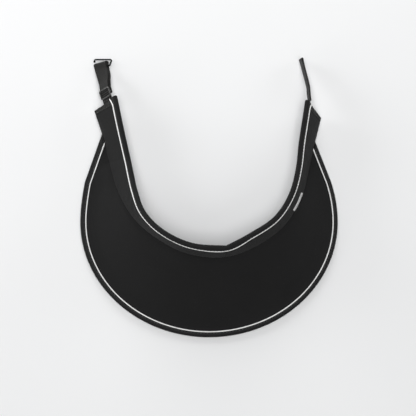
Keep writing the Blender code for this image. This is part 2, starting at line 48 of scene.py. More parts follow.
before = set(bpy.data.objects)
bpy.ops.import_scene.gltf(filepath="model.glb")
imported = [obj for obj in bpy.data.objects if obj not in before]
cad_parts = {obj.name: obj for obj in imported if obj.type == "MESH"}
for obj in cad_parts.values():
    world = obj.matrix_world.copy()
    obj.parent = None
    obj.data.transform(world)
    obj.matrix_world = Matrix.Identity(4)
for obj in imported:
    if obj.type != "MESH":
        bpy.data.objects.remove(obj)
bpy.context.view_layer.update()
MM = 0.001
UPRIGHT = np.array((0.0, 0.0, 1.0))
ORIGIN_Y = 23.0             # from the widest line of the bib to the middle of the whole collar
STAGE_COLLECTION = bpy.context.scene.collection

# ---------------------------------------------------------------- driving design, in millimetres

RIM_HALF_WIDTH, RIM_FRONT, RIM_BACK, TAPER_START_Y = 120.7, 108.1, 124.0, 37.6
LEFT_CORNER, RIGHT_CORNER = (-100.3, 82.9), (99.2, 76.3)
LEFT_FULLNESS, RIGHT_FULLNESS = (1.8, 47.0, 17.0), (-0.5, 40.0, 20.0)
STATIONS = (
    ((-107.0, 104.5), (-85.3, 116.6)),
    ((-99.5, 82.6), (-78.2, 82.1)),
    ((-91.8, 53.4), (-71.7, 53.6)),
    ((-83.5, 28.2), (-66.0, 29.2)),
    ((-68.7, 4.6), (-58.1, 9.0)),
    ((-46.9, -13.9), (-40.9, -7.9)),
    ((-18.9, -27.6), (-15.5, -19.5)),
    ((14.0, -30.7), (15.5, -22.0)),
    ((43.9, -20.3), (36.8, -10.7)),
    ((68.4, -2.4), (59.0, 3.9)),
    ((84.5, 22.7), (73.2, 24.1)),
    ((91.9, 47.1), (80.6, 48.5)),
    ((98.6, 75.9), (83.8, 75.5)),
    ((104.2, 97.9), (89.6, 113.0)),
)
LAST = len(STATIONS) - 1
CENTRE_SEAM = 7
LEFT_SPLIT, RIGHT_SPLIT = 0.80, 12.30
CORNERS = (1.0, 12.0)
BASE_Z, BAND_HEIGHT = 2.8, 31.0
KINK_START = 25.5          # only the bound top edge turns a corner at the centre seam
BIB_COVER, BIB_BINDING = 1.9, 2.8
BAND_COVER, BAND_BINDING = 1.55, 2.25
RIM_BINDING_WIDTH, TOP_BINDING_WIDTH, END_BINDING_WIDTH = 4.6, 4.65, 5.4
SLOPE, FLAT_RIM, BEND_END = 0.404, 6.0, 21.0
TAPE_WIDTH, TAPE = 12.0, 0.7
LEFT_SEWN_HEIGHT, RIGHT_SEWN_HEIGHT, SEWN_GAP = 19.2, 24.4, 1.2
SLIDER_PLACE, SLIDER_LENGTH, SLIDER_WIDTH, SLIDER_RAIL, SLIDER_THICK = 7.0, 9.8, 13.8, 1.8, 1.4
RING_SHIFT, RAIL_SHOWN = 0.6, 1.15     # the ring's sideways lie on its tape, its wire's thickness
BAR_DROP, BAR_THICK, LEG_OFFSET = 2.15, 1.0, 1.35
LOOP_ROUTE = ((-97.5, 129.5, 9.5), (-98.9, 136.0, 6.6), (-101.2, 143.0, 2.3), (-102.6, 148.0, 2.1))
LOOP_SHIFT, HOOK_WIRE, HOOK_BAR_Z, HOOK_TILT = 3.0, 0.68, 2.1, -9.8
RIGHT_ROUTE = ((92.3, 120.2, 16.4), (91.9, 126.5, 14.0), (89.0, 139.6, 10.0), (86.1, 151.9, 7.6))


def spline(points, t, corner=None):
    """Points of a smooth curve through the given points at the places t, with an optional corner."""
    points = np.asarray(points, float)
    t = np.clip(np.asarray(t, float), 0, len(points) - 1)
    i = np.minimum(t.astype(int), len(points) - 2)
    s = (t - i)[..., None]
    forward = points[1:] - points[:-1]
    arrive, leave = forward.copy(), forward.copy()
    arrive[:-1] = (forward[:-1] + forward[1:]) / 2
    leave[1:] = (forward[:-1] + forward[1:]) / 2
    if corner is not None:
        leave[corner], arrive[corner - 1] = forward[corner], forward[corner - 1]
    return ((2 * s**3 - 3 * s**2 + 1) * points[i] + (s**3 - 2 * s**2 + s) * leave[i]
            + (3 * s**2 - 2 * s**3) * points[i + 1] + (s**3 - s**2) * arrive[i])


def unit(vectors):
    return vectors / np.maximum(np.linalg.norm(vectors, axis=-1, keepdims=True), 1e-12)


def run_of(points):
    """Length so far along a row of points."""
    return np.concatenate(([0.0], np.cumsum(np.linalg.norm(np.diff(points, axis=0), axis=1))))


def smooth_step(x):
    return x * x * (3 - 2 * x)


def over(profile, values):
    """The same values for every point of a profile."""
    return values[:, None] * np.ones(len(profile))


def level(shares, offset):
    """Profile of a flat layer at an offset."""
    return np.stack([shares, 0 * shares, 0 * shares + offset], 1)


def averaged(values, reach):
    """A row of values, each the mean of its neighbours within a reach."""
    window = 2 * reach + 1
    return np.convolve(np.pad(values, reach, "edge"), np.ones(window) / window, "valid")


def half_turn(count):
    """Angles from straight up to straight down, without the two ends."""
    return np.linspace(pi / 2, -pi / 2, count)[1:-1]


def look_up(x, xs, table):
    return np.stack([np.interp(x, xs, table[:, k]) for k in range(table.shape[1])], axis=-1)


def rim_outline():
    """The bib rim from the left corner round the front to the right corner."""
    turn = np.arcsin(TAPER_START_Y / RIM_BACK)
    back = np.linspace(turn, 0, 60)
    front = np.linspace(0, pi, 400)[1:-1]
    left = np.stack([-RIM_HALF_WIDTH * np.cos(back), RIM_BACK * np.sin(back)], 1)
    round_front = np.stack([-RIM_HALF_WIDTH * np.cos(front), -RIM_FRONT * np.sin(front)], 1)
    right = left[::-1] * (-1, 1)
    outline = np.concatenate([[LEFT_CORNER], left, round_front, right, [RIGHT_CORNER]])
    for side, (out, middle, length) in ((-1, LEFT_FULLNESS), (1, RIGHT_FULLNESS)):
        on_side = np.sign(outline[:, 0]) == side
        on_side[[0, -1]] = False
        outline[on_side, 0] += side * out * np.exp(-((outline[on_side, 1] - middle) / length)**2)
    return outline


def rise(depth):
    """Height of the bib above its rim at a depth in from it."""
    bend = SLOPE * (depth - FLAT_RIM)**2 / (2 * (BEND_END - FLAT_RIM))
    straight = SLOPE * (depth - (FLAT_RIM + BEND_END) / 2)
    return np.where(depth < FLAT_RIM, 0.0, np.where(depth < BEND_END, bend, straight))


class Design:
    """The collar's driving curves, sampled finely along the stations."""

    def __init__(self):
        self.t = np.linspace(0, LAST, 2601)
        seam_xy = spline([s[0] for s in STATIONS], self.t)
        top_xy = spline([s[1] for s in STATIONS], self.t)
        kinked = spline([s[1] for s in STATIONS], self.t, CENTRE_SEAM)
        on_bib = (self.t >= CORNERS[0]) & (self.t <= CORNERS[1])
        bib_t, bib_run = self.t[on_bib], run_of(seam_xy[on_bib])
        share = np.interp(self.t, bib_t, bib_run / bib_run[-1])
        outline = rim_outline()
        length = run_of(outline)
        self.rim = look_up(share * length[-1], length, outline)
        step = 0.01
        ahead = look_up(np.minimum(share + step, 1) * length[-1], length, outline)
        behind = look_up(np.maximum(share - step, 0) * length[-1], length, outline)
        along = unit(ahead - behind)
        self.inward = np.stack([-along[:, 1], along[:, 0]], 1)
        width = ((seam_xy - self.rim) * self.inward).sum(1)
        self.width = np.where(on_bib, np.maximum(width, 0), 0.0)
        self.seam = np.column_stack([seam_xy, BASE_Z + rise(self.width)])
        reach = np.linalg.norm(top_xy - seam_xy, axis=1)
        self.top = np.column_stack([top_xy, self.seam[:, 2] + np.sqrt(BAND_HEIGHT**2 - reach**2)])
        self.kink = np.column_stack([kinked - top_xy, np.zeros(len(self.t))])
        middle = (self.seam + self.top) / 2
        spread = 16
        ahead = np.concatenate([middle[spread:], np.repeat(middle[-1:], spread, 0)])
        behind = np.concatenate([np.repeat(middle[:1], spread, 0), middle[:-spread]])
        normal = unit(np.cross(self.top - self.seam, ahead - behind))
        self.normal = normal * np.sign(normal[:, 2:])
        self.run = run_of(middle)

    def at(self, table, t):
        return look_up(np.asarray(t, float), self.t, table)

    def value(self, table, t):
        return np.interp(t, self.t, table)

    def station(self, run):
        """Station at a length along the middle of the band."""
        return np.interp(run, self.run, self.t)

    def band(self, t, height, offset):
        """A point of the neck band: height up from the seam, offset out from the padding's middle."""
        low, high = self.at(self.seam, t), self.at(self.top, t)
        share = (np.asarray(height) / BAND_HEIGHT)[..., None]
        corner = np.clip((np.asarray(height) - KINK_START) / (BAND_HEIGHT - KINK_START), 0, 1)[..., None]
        kink = self.at(self.kink, t) * smooth_step(corner)
        return low + (high - low) * share + kink + self.at(self.normal, t) * np.asarray(offset)[..., None]

    def bib_middle(self, t, v):
        rim, seam = self.at(self.rim, t), self.at(self.seam, t)[..., :2]
        xy = rim + (seam - rim) * v[..., None]
        depth = ((xy - rim) * self.at(self.inward, t)).sum(-1)
        return np.concatenate([xy, (BASE_Z + rise(depth))[..., None]], axis=-1)

    def bib(self, t, v, offset):
        """A point of the bib: v is 0 on the rim and 1 on the neck seam."""
        step = 0.03
        along = self.bib_middle(t + step, v) - self.bib_middle(t - step, v)
        across = self.bib_middle(t, np.minimum(v + step, 1)) - self.bib_middle(t, np.maximum(v - step, 0))
        normal = unit(np.cross(along, across))
        normal = normal * np.where(normal[..., 2:] < 0, -1.0, 1.0)
        return self.bib_middle(t, v) + normal * np.asarray(offset)[..., None]

    def rim_point(self, t, depth, offset):
        """A point near the rim, where the bib lies flat."""
        xy = self.at(self.rim, t) + self.at(self.inward, t) * np.asarray(depth)[..., None]
        return np.concatenate([xy, (BASE_Z + np.asarray(offset))[..., None]], axis=-1)


D = Design()


def to_world(points):
    points = np.array(points, float)
    points[..., 1] -= ORIGIN_Y
    return points * MM


# ---------------------------------------------------------------- properties

class CollarSizes(bpy.types.PropertyGroup):
    stitch_length: bpy.props.FloatProperty(
        name="Stitch Length", description="Length of one visible stitch", default=0.0022, unit="LENGTH")
    stitch_gap: bpy.props.FloatProperty(
        name="Stitch Gap", description="Space between two stitches", default=0.0008, unit="LENGTH")
    thread: bpy.props.FloatProperty(
        name="Thread Radius", description="Radius of the sewing thread", default=0.0002, unit="LENGTH")
    rib_pitch: bpy.props.FloatProperty(
        name="Rib Pitch", description="Distance between ribs of the end tape", default=0.0019, unit="LENGTH")
    rim_piping: bpy.props.FloatProperty(
        name="Rim Piping Radius", description="Radius of the bib's piping", default=0.00062, unit="LENGTH")
    top_piping: bpy.props.FloatProperty(
        name="Band Piping Radius", description="Radius of the band's piping", default=0.00064, unit="LENGTH")
    floor_size: bpy.props.FloatProperty(
        name="Floor Size", description="Side of the pale surface", default=8.0, unit="LENGTH")


def colour_property(name, description, default):
    return bpy.props.FloatVectorProperty(
        name=name, description=description, default=default, subtype="COLOR", size=3, min=0.0, max=1.0)


class CollarColours(bpy.types.PropertyGroup):
    cloth: colour_property("Cloth", "Outer cloth of bib and band", (0.0098, 0.0098, 0.0100))
    lining: colour_property("Lining", "Cloth next to the skin", (0.026, 0.026, 0.028))
    padding: colour_property("Padding", "Foam inside the collar", (0.16, 0.16, 0.165))
    binding: colour_property("Binding", "Folded edge tape", (0.0095, 0.0095, 0.0097))
    piping: colour_property("Piping", "White piped line", (0.90, 0.90, 0.89))
    ribbed: colour_property("Ribbed Tape", "Ribbed end tape", (0.020, 0.0195, 0.0185))
    elastic: colour_property("Strap Tape", "Woven strap tape", (0.0135, 0.0132, 0.0126))
    metal: colour_property("Hook Metal", "Dark plated wire", (0.010, 0.011, 0.011))
    slider: colour_property("Slider Metal", "Dark plated slider", (0.11, 0.11, 0.108))
    tab: colour_property("Tab", "Plain woven side tab", (0.82, 0.82, 0.81))
    thread: colour_property("Thread", "Sewing thread", (0.02, 0.02, 0.02))
    floor: colour_property("Floor", "Pale surface", (0.86, 0.865, 0.87))


# ---------------------------------------------------------------- shader writing

class Socket:
    """A node's output, with Python's operators adding Math nodes."""

    def __init__(self, shader, socket):
        self.shader, self.socket = shader, socket

    def maths(self, operation, *values):
        return self.shader.node("ShaderNodeMath", {"operation": operation}, *values)

    def __add__(self, other):
        return self.maths("ADD", self, other)

    def __sub__(self, other):
        return self.maths("SUBTRACT", self, other)

    def __rsub__(self, other):
        return self.maths("SUBTRACT", other, self)

    def __mul__(self, other):
        return self.maths("MULTIPLY", self, other)

    __radd__, __rmul__ = __add__, __mul__

    def sine(self):
        return self.maths("SINE", self)

    def absolute(self):
        return self.maths("ABSOLUTE", self)

    def output(self, name):
        """Another output of the same node."""
        return Socket(self.shader, self.socket.node.outputs[name])

    def mapped(self, low, high, to_low=0.0, to_high=1.0):
        settings = {"clamp": True, "interpolation_type": "SMOOTHSTEP"}
        return self.shader.node("ShaderNodeMapRange", settings, self, low, high, to_low, to_high)


class Shader:
    """One material, with a short way to add a node: its type, its settings, then its sockets."""

    def __init__(self, name, roughness, **constants):
        self.material = bpy.data.materials.new(name)
        self.material.use_nodes = True
        self.tree = self.material.node_tree
        self.surface = self.tree.nodes["Principled BSDF"]
        self.surface.inputs["Roughness"].default_value = roughness
        for socket, value in constants.items():
            self.surface.inputs[socket.replace("_", " ")].default_value = value

    def link(self, value, target):
        if isinstance(value, Socket):
            self.tree.links.new(value.socket, target)
        elif isinstance(value, tuple) and len(value) == 3 and len(target.default_value) == 4:
            target.default_value = (*value, 1.0)
        else:
            target.default_value = value

    def node(self, kind, settings, *values, output=0, **named):
        made = self.tree.nodes.new(kind)
        for key, value in settings.items():
            setattr(made, key, value)
        for value, target in zip(values, [s for s in made.inputs if s.enabled]):
            self.link(value, target)
        for key, value in named.items():
            self.link(value, made.inputs[key])
        return Socket(self, made.outputs[output])

    def run(self):
        """Along and across a made piece in millimetres, and how high its ribs stand, 0 to 1."""
        stored = self.node("ShaderNodeAttribute", {"attribute_name": "run"}, output="Vector")
        split = self.node("ShaderNodeSeparateXYZ", {}, stored)
        return [split.output(axis) for axis in "XYZ"]

    def place(self):
        return self.node("ShaderNodeTexCoord", {}, output="Object")

    def noise(self, scale, detail=3.0, roughness=0.55):
        return self.node("ShaderNodeTexNoise", {}, Vector=self.place(), Scale=scale, Detail=detail,
                         Roughness=roughness)

    def mix(self, share, first, second):
        return self.node("ShaderNodeMix", {"data_type": "RGBA"}, share, first, second, output=2)

    def bump(self, height, distance, strength=1.0):
        return self.node("ShaderNodeBump", {}, Height=height, Distance=distance, Strength=strength)

    def finish(self, **sockets):
        for name, value in sockets.items():
            self.link(value, self.surface.inputs[name.replace("_", " ")])
        return self.material


def shade(colour, factor):
    return tuple(min(1.0, c * factor) for c in colour)


def knit_material(name, colour, pitch, fuzz, sheen):
    """Fine jersey: rows of small loops, a little lint and slow changes of tone."""
    m = Shader(name, 0.9, Sheen_Weight=sheen, Sheen_Roughness=0.5, Specular_IOR_Level=0.2)
    along, across, _ = m.run()
    row = (across * (2 * pi / pitch)).sine()
    loop = (along * (2 * pi / (pitch * 1.3)) + row * 0.8).sine()
    grain = m.noise(2600.0, 2.0)
    slow = m.noise(22.0, 3.0)
    lint = m.noise(900.0, 1.0, 0.3).mapped(0.74, 0.80)
    tone = slow.mapped(0.35, 0.65, 0.0, 1.0)
    base = m.mix(tone, shade(colour, 0.85), shade(colour, 1.2))
    base = m.mix(loop * 0.25 + 0.25, base, shade(colour, 1.35))
    base = m.mix(lint * fuzz, base, shade(colour, 6.0))
    height = row * 0.35 + loop * 0.45 + grain * 0.5
    return m.finish(Base_Color=base, Normal=m.bump(height, 0.00008, 0.7),
                    Roughness=slow.mapped(0.3, 0.7, 0.84, 0.96))


def ribbed_material(name, colour, pitch, sheen, ribs=False):
    """Woven tape: fine picks, dust and wear, and a painted highlight along its crown; on ribbed tape, painted
    shade in the grooves between real ribs and a painted highlight on their tops.
    """
    m = Shader(name, 0.75, Sheen_Weight=sheen, Sheen_Roughness=0.4, Specular_IOR_Level=0.2)
    along, across, rib = m.run()
    pick = (along * (2 * pi / pitch)).sine()
    warp = (across * (2 * pi / 0.34)).sine()
    slow = m.noise(60.0, 2.0)
    base = m.mix(pick * 0.3 + warp * 0.2 + 0.5, shade(colour, 0.7), shade(colour, 1.3))
    base = m.mix(slow.mapped(0.35, 0.7, 0.0, 0.35), base, shade(colour, 1.7))
    # painted shade darkens the grooves between the ribs, and a painted highlight lightens the rib tops
    if ribs:
        base = m.mix(rib.mapped(0.2, 0.6), shade(colour, 0.12), m.mix(0.5, base, shade(colour, 2.0)))
    else:
        # painted highlight: the crown of the rounded binding, where it faces up, is lightened
        crown = (across - 2.1).absolute().mapped(0.3, 1.5, 0.55, 0.0)
        base = m.mix(crown, base, shade(colour, 2.6))
    return m.finish(Base_Color=base, Normal=m.bump(pick + warp * 0.3, 0.00008, 0.8),
                    Roughness=slow.mapped(0.3, 0.7, 0.68, 0.85))


def lengthwise_material(name, colour, pitch, sheen):
    """Flat woven strap tape: fine ribs along its length and picks across."""
    m = Shader(name, 0.72, Sheen_Weight=sheen, Sheen_Roughness=0.4, Specular_IOR_Level=0.35)
    along, across, _ = m.run()
    rib = (across * (2 * pi / pitch)).sine()
    pick = (along * (2 * pi / 0.5) + rib * 0.9).sine()
    slow = m.noise(90.0, 2.0)
    base = m.mix(rib * 0.4 + pick * 0.2 + 0.5, shade(colour, 0.65), shade(colour, 1.35))
    base = m.mix(slow.mapped(0.3, 0.7, 0.0, 0.4), base, shade(colour, 1.5))
    return m.finish(Base_Color=base, Normal=m.bump(rib + pick * 0.5, 0.0001, 0.8),
                    Roughness=slow.mapped(0.3, 0.7, 0.66, 0.84))


def piping_material(name, colour):
    """White bias-cut piping: a slight diagonal weave and faint handling marks."""
    m = Shader(name, 0.6, Sheen_Weight=0.2, Specular_IOR_Level=0.4)
    along, across, _ = m.run()
    weave = (along * (2 * pi / 0.6) + across * (2 * pi / 0.8)).sine()
    marks = m.noise(140.0, 3.0).mapped(0.5, 0.8, 0.0, 0.35)
    base = m.mix(weave * 0.12 + 0.12, colour, shade(colour, 0.8))
    base = m.mix(marks, base, shade(colour, 0.72))
    return m.finish(Base_Color=base, Normal=m.bump(weave, 0.00006, 0.5))


def foam_material(name, colour):
    m = Shader(name, 0.95, Specular_IOR_Level=0.2)
    cells = m.node("ShaderNodeTexVoronoi", {}, Vector=m.place(), Scale=1400.0)
    base = m.mix(cells.mapped(0.1, 0.7), shade(colour, 0.55), shade(colour, 1.15))
    return m.finish(Base_Color=base, Normal=m.bump(cells, 0.0002, 0.8))


def metal_material(name, colour, roughness):
    """Plated wire: fine drawing marks, brighter where it has rubbed."""
    m = Shader(name, roughness, Metallic=1.0, Specular_Tint=(*shade(colour, 3.0), 1.0))
    worn = m.noise(420.0, 4.0, 0.65)
    base = m.mix(worn.mapped(0.45, 0.75), colour, shade(colour, 1.5))
    return m.finish(Base_Color=base, Normal=m.bump(m.noise(3000.0, 2.0), 0.00002, 0.4),
                    Roughness=worn.mapped(0.3, 0.75, roughness * 1.25, roughness * 0.7))


def thread_material(name, colour):
    m = Shader(name, 0.55, Sheen_Weight=0.3, Specular_IOR_Level=0.5)
    twist = m.noise(1800.0, 2.0)
    base = m.mix(twist.mapped(0.3, 0.7), shade(colour, 0.7), shade(colour, 1.5))
    return m.finish(Base_Color=base, Normal=m.bump(twist, 0.00004, 0.6))


def floor_material(name, colour):
    m = Shader(name, 0.85, Specular_IOR_Level=0.15)
    slow = m.noise(3.0, 2.0)
    base = m.mix(slow.mapped(0.3, 0.7), shade(colour, 0.995), shade(colour, 1.005))
    return m.finish(Base_Color=base)


# material: its recipe, its colour's property and the recipe's numbers, pitches in millimetres
MATERIAL_RECIPES = {
    "black_cloth": (knit_material, "cloth", {"pitch": 0.62, "fuzz": 0.25, "sheen": 0.04}),
    "charcoal_lining": (knit_material, "lining", {"pitch": 0.8, "fuzz": 0.4, "sheen": 0.15}),
    "padding_foam": (foam_material, "padding", {}),
    "black_binding": (ribbed_material, "binding", {"pitch": 0.45, "sheen": 0.02}),
    "white_piping": (piping_material, "piping", {}),
    "ribbed_tape": (ribbed_material, "ribbed", {"pitch": 0.42, "sheen": 0.06, "ribs": True}),
    "elastic_tape": (lengthwise_material, "elastic", {"pitch": 0.75, "sheen": 0.04}),
    "dark_metal": (metal_material, "metal", {"roughness": 0.42}),
    "slider_metal": (metal_material, "slider", {"roughness": 0.3}),
    "white_tab": (lengthwise_material, "tab", {"pitch": 0.4, "sheen": 0.1}),
    "sewing_thread": (thread_material, "thread", {}),
    "pale_floor": (floor_material, "floor", {}),
}
made_materials = {}


def material(name):
    if name not in made_materials:
        recipe, colour, numbers = MATERIAL_RECIPES[name]
        shown = getattr(bpy.context.scene.collar_colours, colour)
        made_materials[name] = recipe(name, tuple(shown), **numbers)
    return made_materials[name]


# ---------------------------------------------------------------- mesh building

def size_of(name):
    """One of the collar's sizes, in millimetres."""
    return getattr(bpy.context.scene.collar_sizes, name) / MM


def finished(name, mesh, mat, body=None, replaces=()):
    """An object for a mesh, with its material, its body and the CAD nodes it stands for."""
    mesh.name = name
    mesh.materials.append(material(mat))
    mesh.shade_smooth()
    obj = bpy.data.objects.new(name, mesh)
    STAGE_COLLECTION.objects.link(obj)
    if body:
        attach(obj, body)
    if replaces:
        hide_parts(*replaces)
    return obj


def blend_between(obj, near, far):
    """Bakes the piece's transform into its mesh; near and far, places in millimetres, are not used."""
    start, end = to_world(near), to_world(far)
    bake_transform(obj)


def closed_mesh(points, faces, run=None):
    """A mesh from points in millimetres, welded by its faces, with outward normals."""
    mesh = bpy.data.meshes.new("collar_piece")
    mesh.from_pydata(to_world(points).tolist(), [], faces)
    bm = bmesh.new()
    bm.from_mesh(mesh)
    bmesh.ops.recalc_face_normals(bm, faces=bm.faces)
    bm.to_mesh(mesh)
    bm.free()
    if run is not None:
        layer = mesh.attributes.new("run", "FLOAT_VECTOR", "POINT")
        layer.data.foreach_set("vector", np.asarray(run, np.float32).ravel())
    return mesh


def swept(grid, rib=None):
    """A closed solid through a grid of cross-sections, (columns, profile, 3), with ladder caps.

    A profile runs out along one side and back along the other, so its ends pair up for the caps."""
    columns, count, _ = grid.shape
    i, j = np.meshgrid(np.arange(columns - 1), np.arange(count), indexing="ij")
    k = (j + 1) % count
    quads = np.stack([i * count + j, i * count + k, (i + 1) * count + k, (i + 1) * count + j], -1)
    faces = quads.reshape(-1, 4).tolist()
    last = (columns - 1) * count
    for a in range(count // 2 - 1):
        b, c, d = a + 1, count - 2 - a, count - 1 - a
        faces.append([a, b, c, d])
        faces.append([last + d, last + c, last + b, last + a])
    middle = grid.mean(axis=1)
    along = run_of(middle)[:, None] * np.ones(count)
    edge = np.concatenate([grid, grid[:, :1]], axis=1)
    around = np.cumsum(np.linalg.norm(np.diff(edge, axis=1), axis=2), axis=1)
    half = around[:, count // 2 - 1: count // 2]
    across = np.where(around <= half + 1e-6, around, 2 * half - around)
    run = np.stack([along, across, around if rib is None else rib], -1).reshape(-1, 3)
    return closed_mesh(grid.reshape(-1, 3), faces, run)


def sheet_profile(rows, thickness, top, ease=1.0):
    """Profile of a sheet with rounded edges: share across, extra millimetres across, offset."""
    half = thickness / 2
    middle = top - half
    shares = np.linspace(0, 1, rows)**ease
    turn = np.linspace(pi, pi / 2, 4)[:-1]
    upper = [(0.0, half * (1 + cos(a)), middle + half * sin(a)) for a in turn]
    upper += [(s, half * (1 - 2 * s), top) for s in shares]
    upper += [(1.0, -half * (1 + cos(a)), middle + half * sin(a)) for a in turn[::-1]]
    lower = [(s, d, 2 * middle - o) for s, d, o in upper[::-1]]
    return np.array(upper + lower)


def capsules(centres, along, up, length, radius):
    """Stitches: short rounded threads that rise a little from the cloth."""
    sides, rings = 6, 7
    x = np.linspace(-1, 1, rings)
    fat = np.sqrt(np.maximum(1 - x**4, 0.04))
    arch = 0.9 * (1 - x**2) - 0.35
    angle = np.arange(sides) * 2 * pi / sides
    side = unit(np.cross(along, up))
    ring = (side[:, None, None] * (np.cos(angle)[None, None, :, None] * fat[None, :, None, None] * radius)
            + up[:, None, None] * ((np.sin(angle)[None, None, :] * fat[None, :, None]
                                    + arch[None, :, None])[..., None] * radius)
            + along[:, None, None] * (x * length / 2)[None, :, None, None])
    points = centres[:, None, None] + ring
    count = len(centres)
    faces = []
    for n in range(count):
        base = n * sides * rings
        for r in range(rings - 1):
            for s in range(sides):
                a, b = base + r * sides + s, base + r * sides + (s + 1) % sides
                faces.append([a, b, b + sides, a + sides])
        faces.append([base + s for s in range(sides)][::-1])
        faces.append([base + (rings - 1) * sides + s for s in range(sides)])
    return closed_mesh(points.reshape(-1, 3), faces)


def stitch_line(name, path, up, body=None, mat="sewing_thread"):
    """A row of stitches along a path in millimetres; up is the cloth's direction at each point."""
    length, gap, radius = size_of("stitch_length"), size_of("stitch_gap"), size_of("thread")
    run = run_of(path)
    count = max(1, int(run[-1] / (length + gap)))
    at = (np.arange(count) + 0.5) * run[-1] / count
    centres = look_up(at, run, path)
    tangent = unit(look_up(at + length / 2, run, path) - look_up(at - length / 2, run, path))
    lift = unit(look_up(at, run, up))
    mesh = capsules(centres, tangent, lift, length, radius)
    return finished(name, mesh, mat, body)


def cord(path, radius, sides=14, up=None):
    """A round cord through a path in millimetres, with rounded ends."""
    tangent = unit(np.gradient(path, axis=0))
    guide = np.broadcast_to(UPRIGHT if up is None else up, path.shape)
    side = unit(np.cross(tangent, guide))
    lift = np.cross(side, tangent)
    angle = pi / 2 + np.arange(sides) * 2 * pi / sides
    ends = np.array([0.25, 0.7, 0.93])
    scale = np.concatenate([ends, np.ones(len(path) - 6), ends[::-1]])
    ring = (side[:, None] * np.cos(angle)[None, :, None]
            + lift[:, None] * np.sin(angle)[None, :, None]) * radius * scale[:, None, None]
    return swept(path[:, None] + ring)


def ribbon(middle, across, width, thickness, wave=0.0, pitch=0.9, lengthwise=None, sheared=False,
           shift=None):
    """A woven tape along its middle line: thicker selvedges, rounded edges, ribs across or along it.

    lengthwise is 0 to 1 at each point: how far the ribs run along the tape instead of across it.
    A sheared tape keeps the width direction it is given; shift slides it sideways after that."""
    tangent = unit(np.gradient(middle, axis=0))
    if not sheared:
        across = unit(across - tangent * (across * tangent).sum(1, keepdims=True))
    face = unit(np.cross(across, tangent))
    rows = 57 if lengthwise is not None else 17
    x = np.linspace(-1, 1, rows)
    edge = np.abs(x)
    selvedge = 1 + 0.18 * np.exp(-((edge - 0.9) / 0.06)**2)
    thick = thickness / 2 * selvedge * np.sqrt(np.clip((1.0 - edge) / 0.035, 0.12, 1))
    run = run_of(middle)
    if shift is not None:
        middle = middle + shift
    along = np.zeros(len(run)) if lengthwise is None else lengthwise
    crosswise = (1 - along) * np.sin(run * 2 * pi / pitch)
    tops = crosswise[:, None] + along[:, None] * np.cos(x * width / 2 * 2 * pi / pitch)
    ribs = 1 + wave * tops
    flat = middle[:, None] + across[:, None] * (width / 2 * x)[None, :, None]
    raised = face[:, None] * (thick * ribs)[..., None]
    shown = 0.5 + 0.5 * np.concatenate([tops, tops[:, ::-1]], axis=1)
    return swept(np.concatenate([flat + raised, (flat - raised)[:, ::-1]], axis=1), shown), face


# ---------------------------------------------------------------- padded cloth

# the cloth settles at ten times its size, under a light pressure and with a little growth for gathers
PUFF_FRAMES, PUFF_SCALE, PUFF_PRESSURE, PUFF_GROWTH = 20, 10.0, 4.0, -0.012


class Relief:
    """How far a padded cloth lifts off its design surface, over stations and shares across it."""

    def __init__(self, stations, shares, lift):
        self.stations, self.shares, self.lift = stations, shares, lift

    def at(self, t, share):
        rows, columns = self.lift.shape
        i = np.interp(t, self.stations, np.arange(rows))
        j = np.interp(share, self.shares, np.arange(columns))
        i0, j0 = np.minimum(i.astype(int), rows - 2), np.minimum(j.astype(int), columns - 2)
        fi, fj = i - i0, j - j0
        near = self.lift[i0, j0] * (1 - fj) + self.lift[i0, j0 + 1] * fj
        far = self.lift[i0 + 1, j0] * (1 - fj) + self.lift[i0 + 1, j0 + 1] * fj
        return near * (1 - fi) + far * fi


def simulated_lift(name, grid, limit):
    """Lift of a cloth held on its sewn edges and pushed out by its padding, in millimetres."""
    rows, columns, _ = grid.shape
    points = to_world(grid).reshape(-1, 3) * PUFF_SCALE
    faces = [[i * columns + j, (i + 1) * columns + j, (i + 1) * columns + j + 1, i * columns + j + 1]
             for i in range(rows - 1) for j in range(columns - 1)]
    mesh = bpy.data.meshes.new(name)
    mesh.from_pydata(points.tolist(), [], faces)
    mesh.update()
    normals = np.empty(len(points) * 3, np.float32)
    mesh.vertex_normals.foreach_get("vector", normals)
    normals = normals.reshape(-1, 3)
    if normals[:, 2].mean() < 0:
        mesh.flip_normals()
        normals = -normals
    sheet = bpy.data.objects.new(name, mesh)
    STAGE_COLLECTION.objects.link(sheet)
    held = sheet.vertex_groups.new(name="held")
    index = np.arange(rows * columns).reshape(rows, columns)
    edge = np.concatenate([index[0], index[-1], index[:, 0], index[:, -1]])
    held.add([int(v) for v in np.unique(edge)], 1.0, "REPLACE")
    cloth = sheet.modifiers.new("cloth", "CLOTH")
    cloth.settings.quality = 6
    cloth.settings.mass = 0.3
    cloth.settings.tension_stiffness = cloth.settings.compression_stiffness = 18.0
    cloth.settings.bending_stiffness = 1.2
    cloth.settings.vertex_group_mass = "held"
    cloth.settings.use_pressure = True
    cloth.settings.uniform_pressure_force = PUFF_PRESSURE
    cloth.settings.shrink_min = PUFF_GROWTH
    cloth.settings.effector_weights.gravity = 0.0
    cloth.collision_settings.use_collision = False
    cloth.point_cache.frame_end = PUFF_FRAMES
    scene = bpy.context.scene
    for number in range(1, PUFF_FRAMES + 1):
        scene.frame_set(number)
    settled = sheet.evaluated_get(bpy.context.evaluated_depsgraph_get())
    moved = np.empty(len(points) * 3, np.float32)
    settled.data.vertices.foreach_get("co", moved)
    scene.frame_set(1)
    bpy.data.objects.remove(sheet, do_unlink=True)
    lift = ((moved.reshape(-1, 3) - points) * normals).sum(1).reshape(rows, columns)
    lift = lift / PUFF_SCALE / MM
    if not np.isfinite(lift).all():
        raise RuntimeError(name + ": the cloth did not settle")
    return limit * np.tanh(lift / max(limit, 1e-6))


# ---------------------------------------------------------------- bib

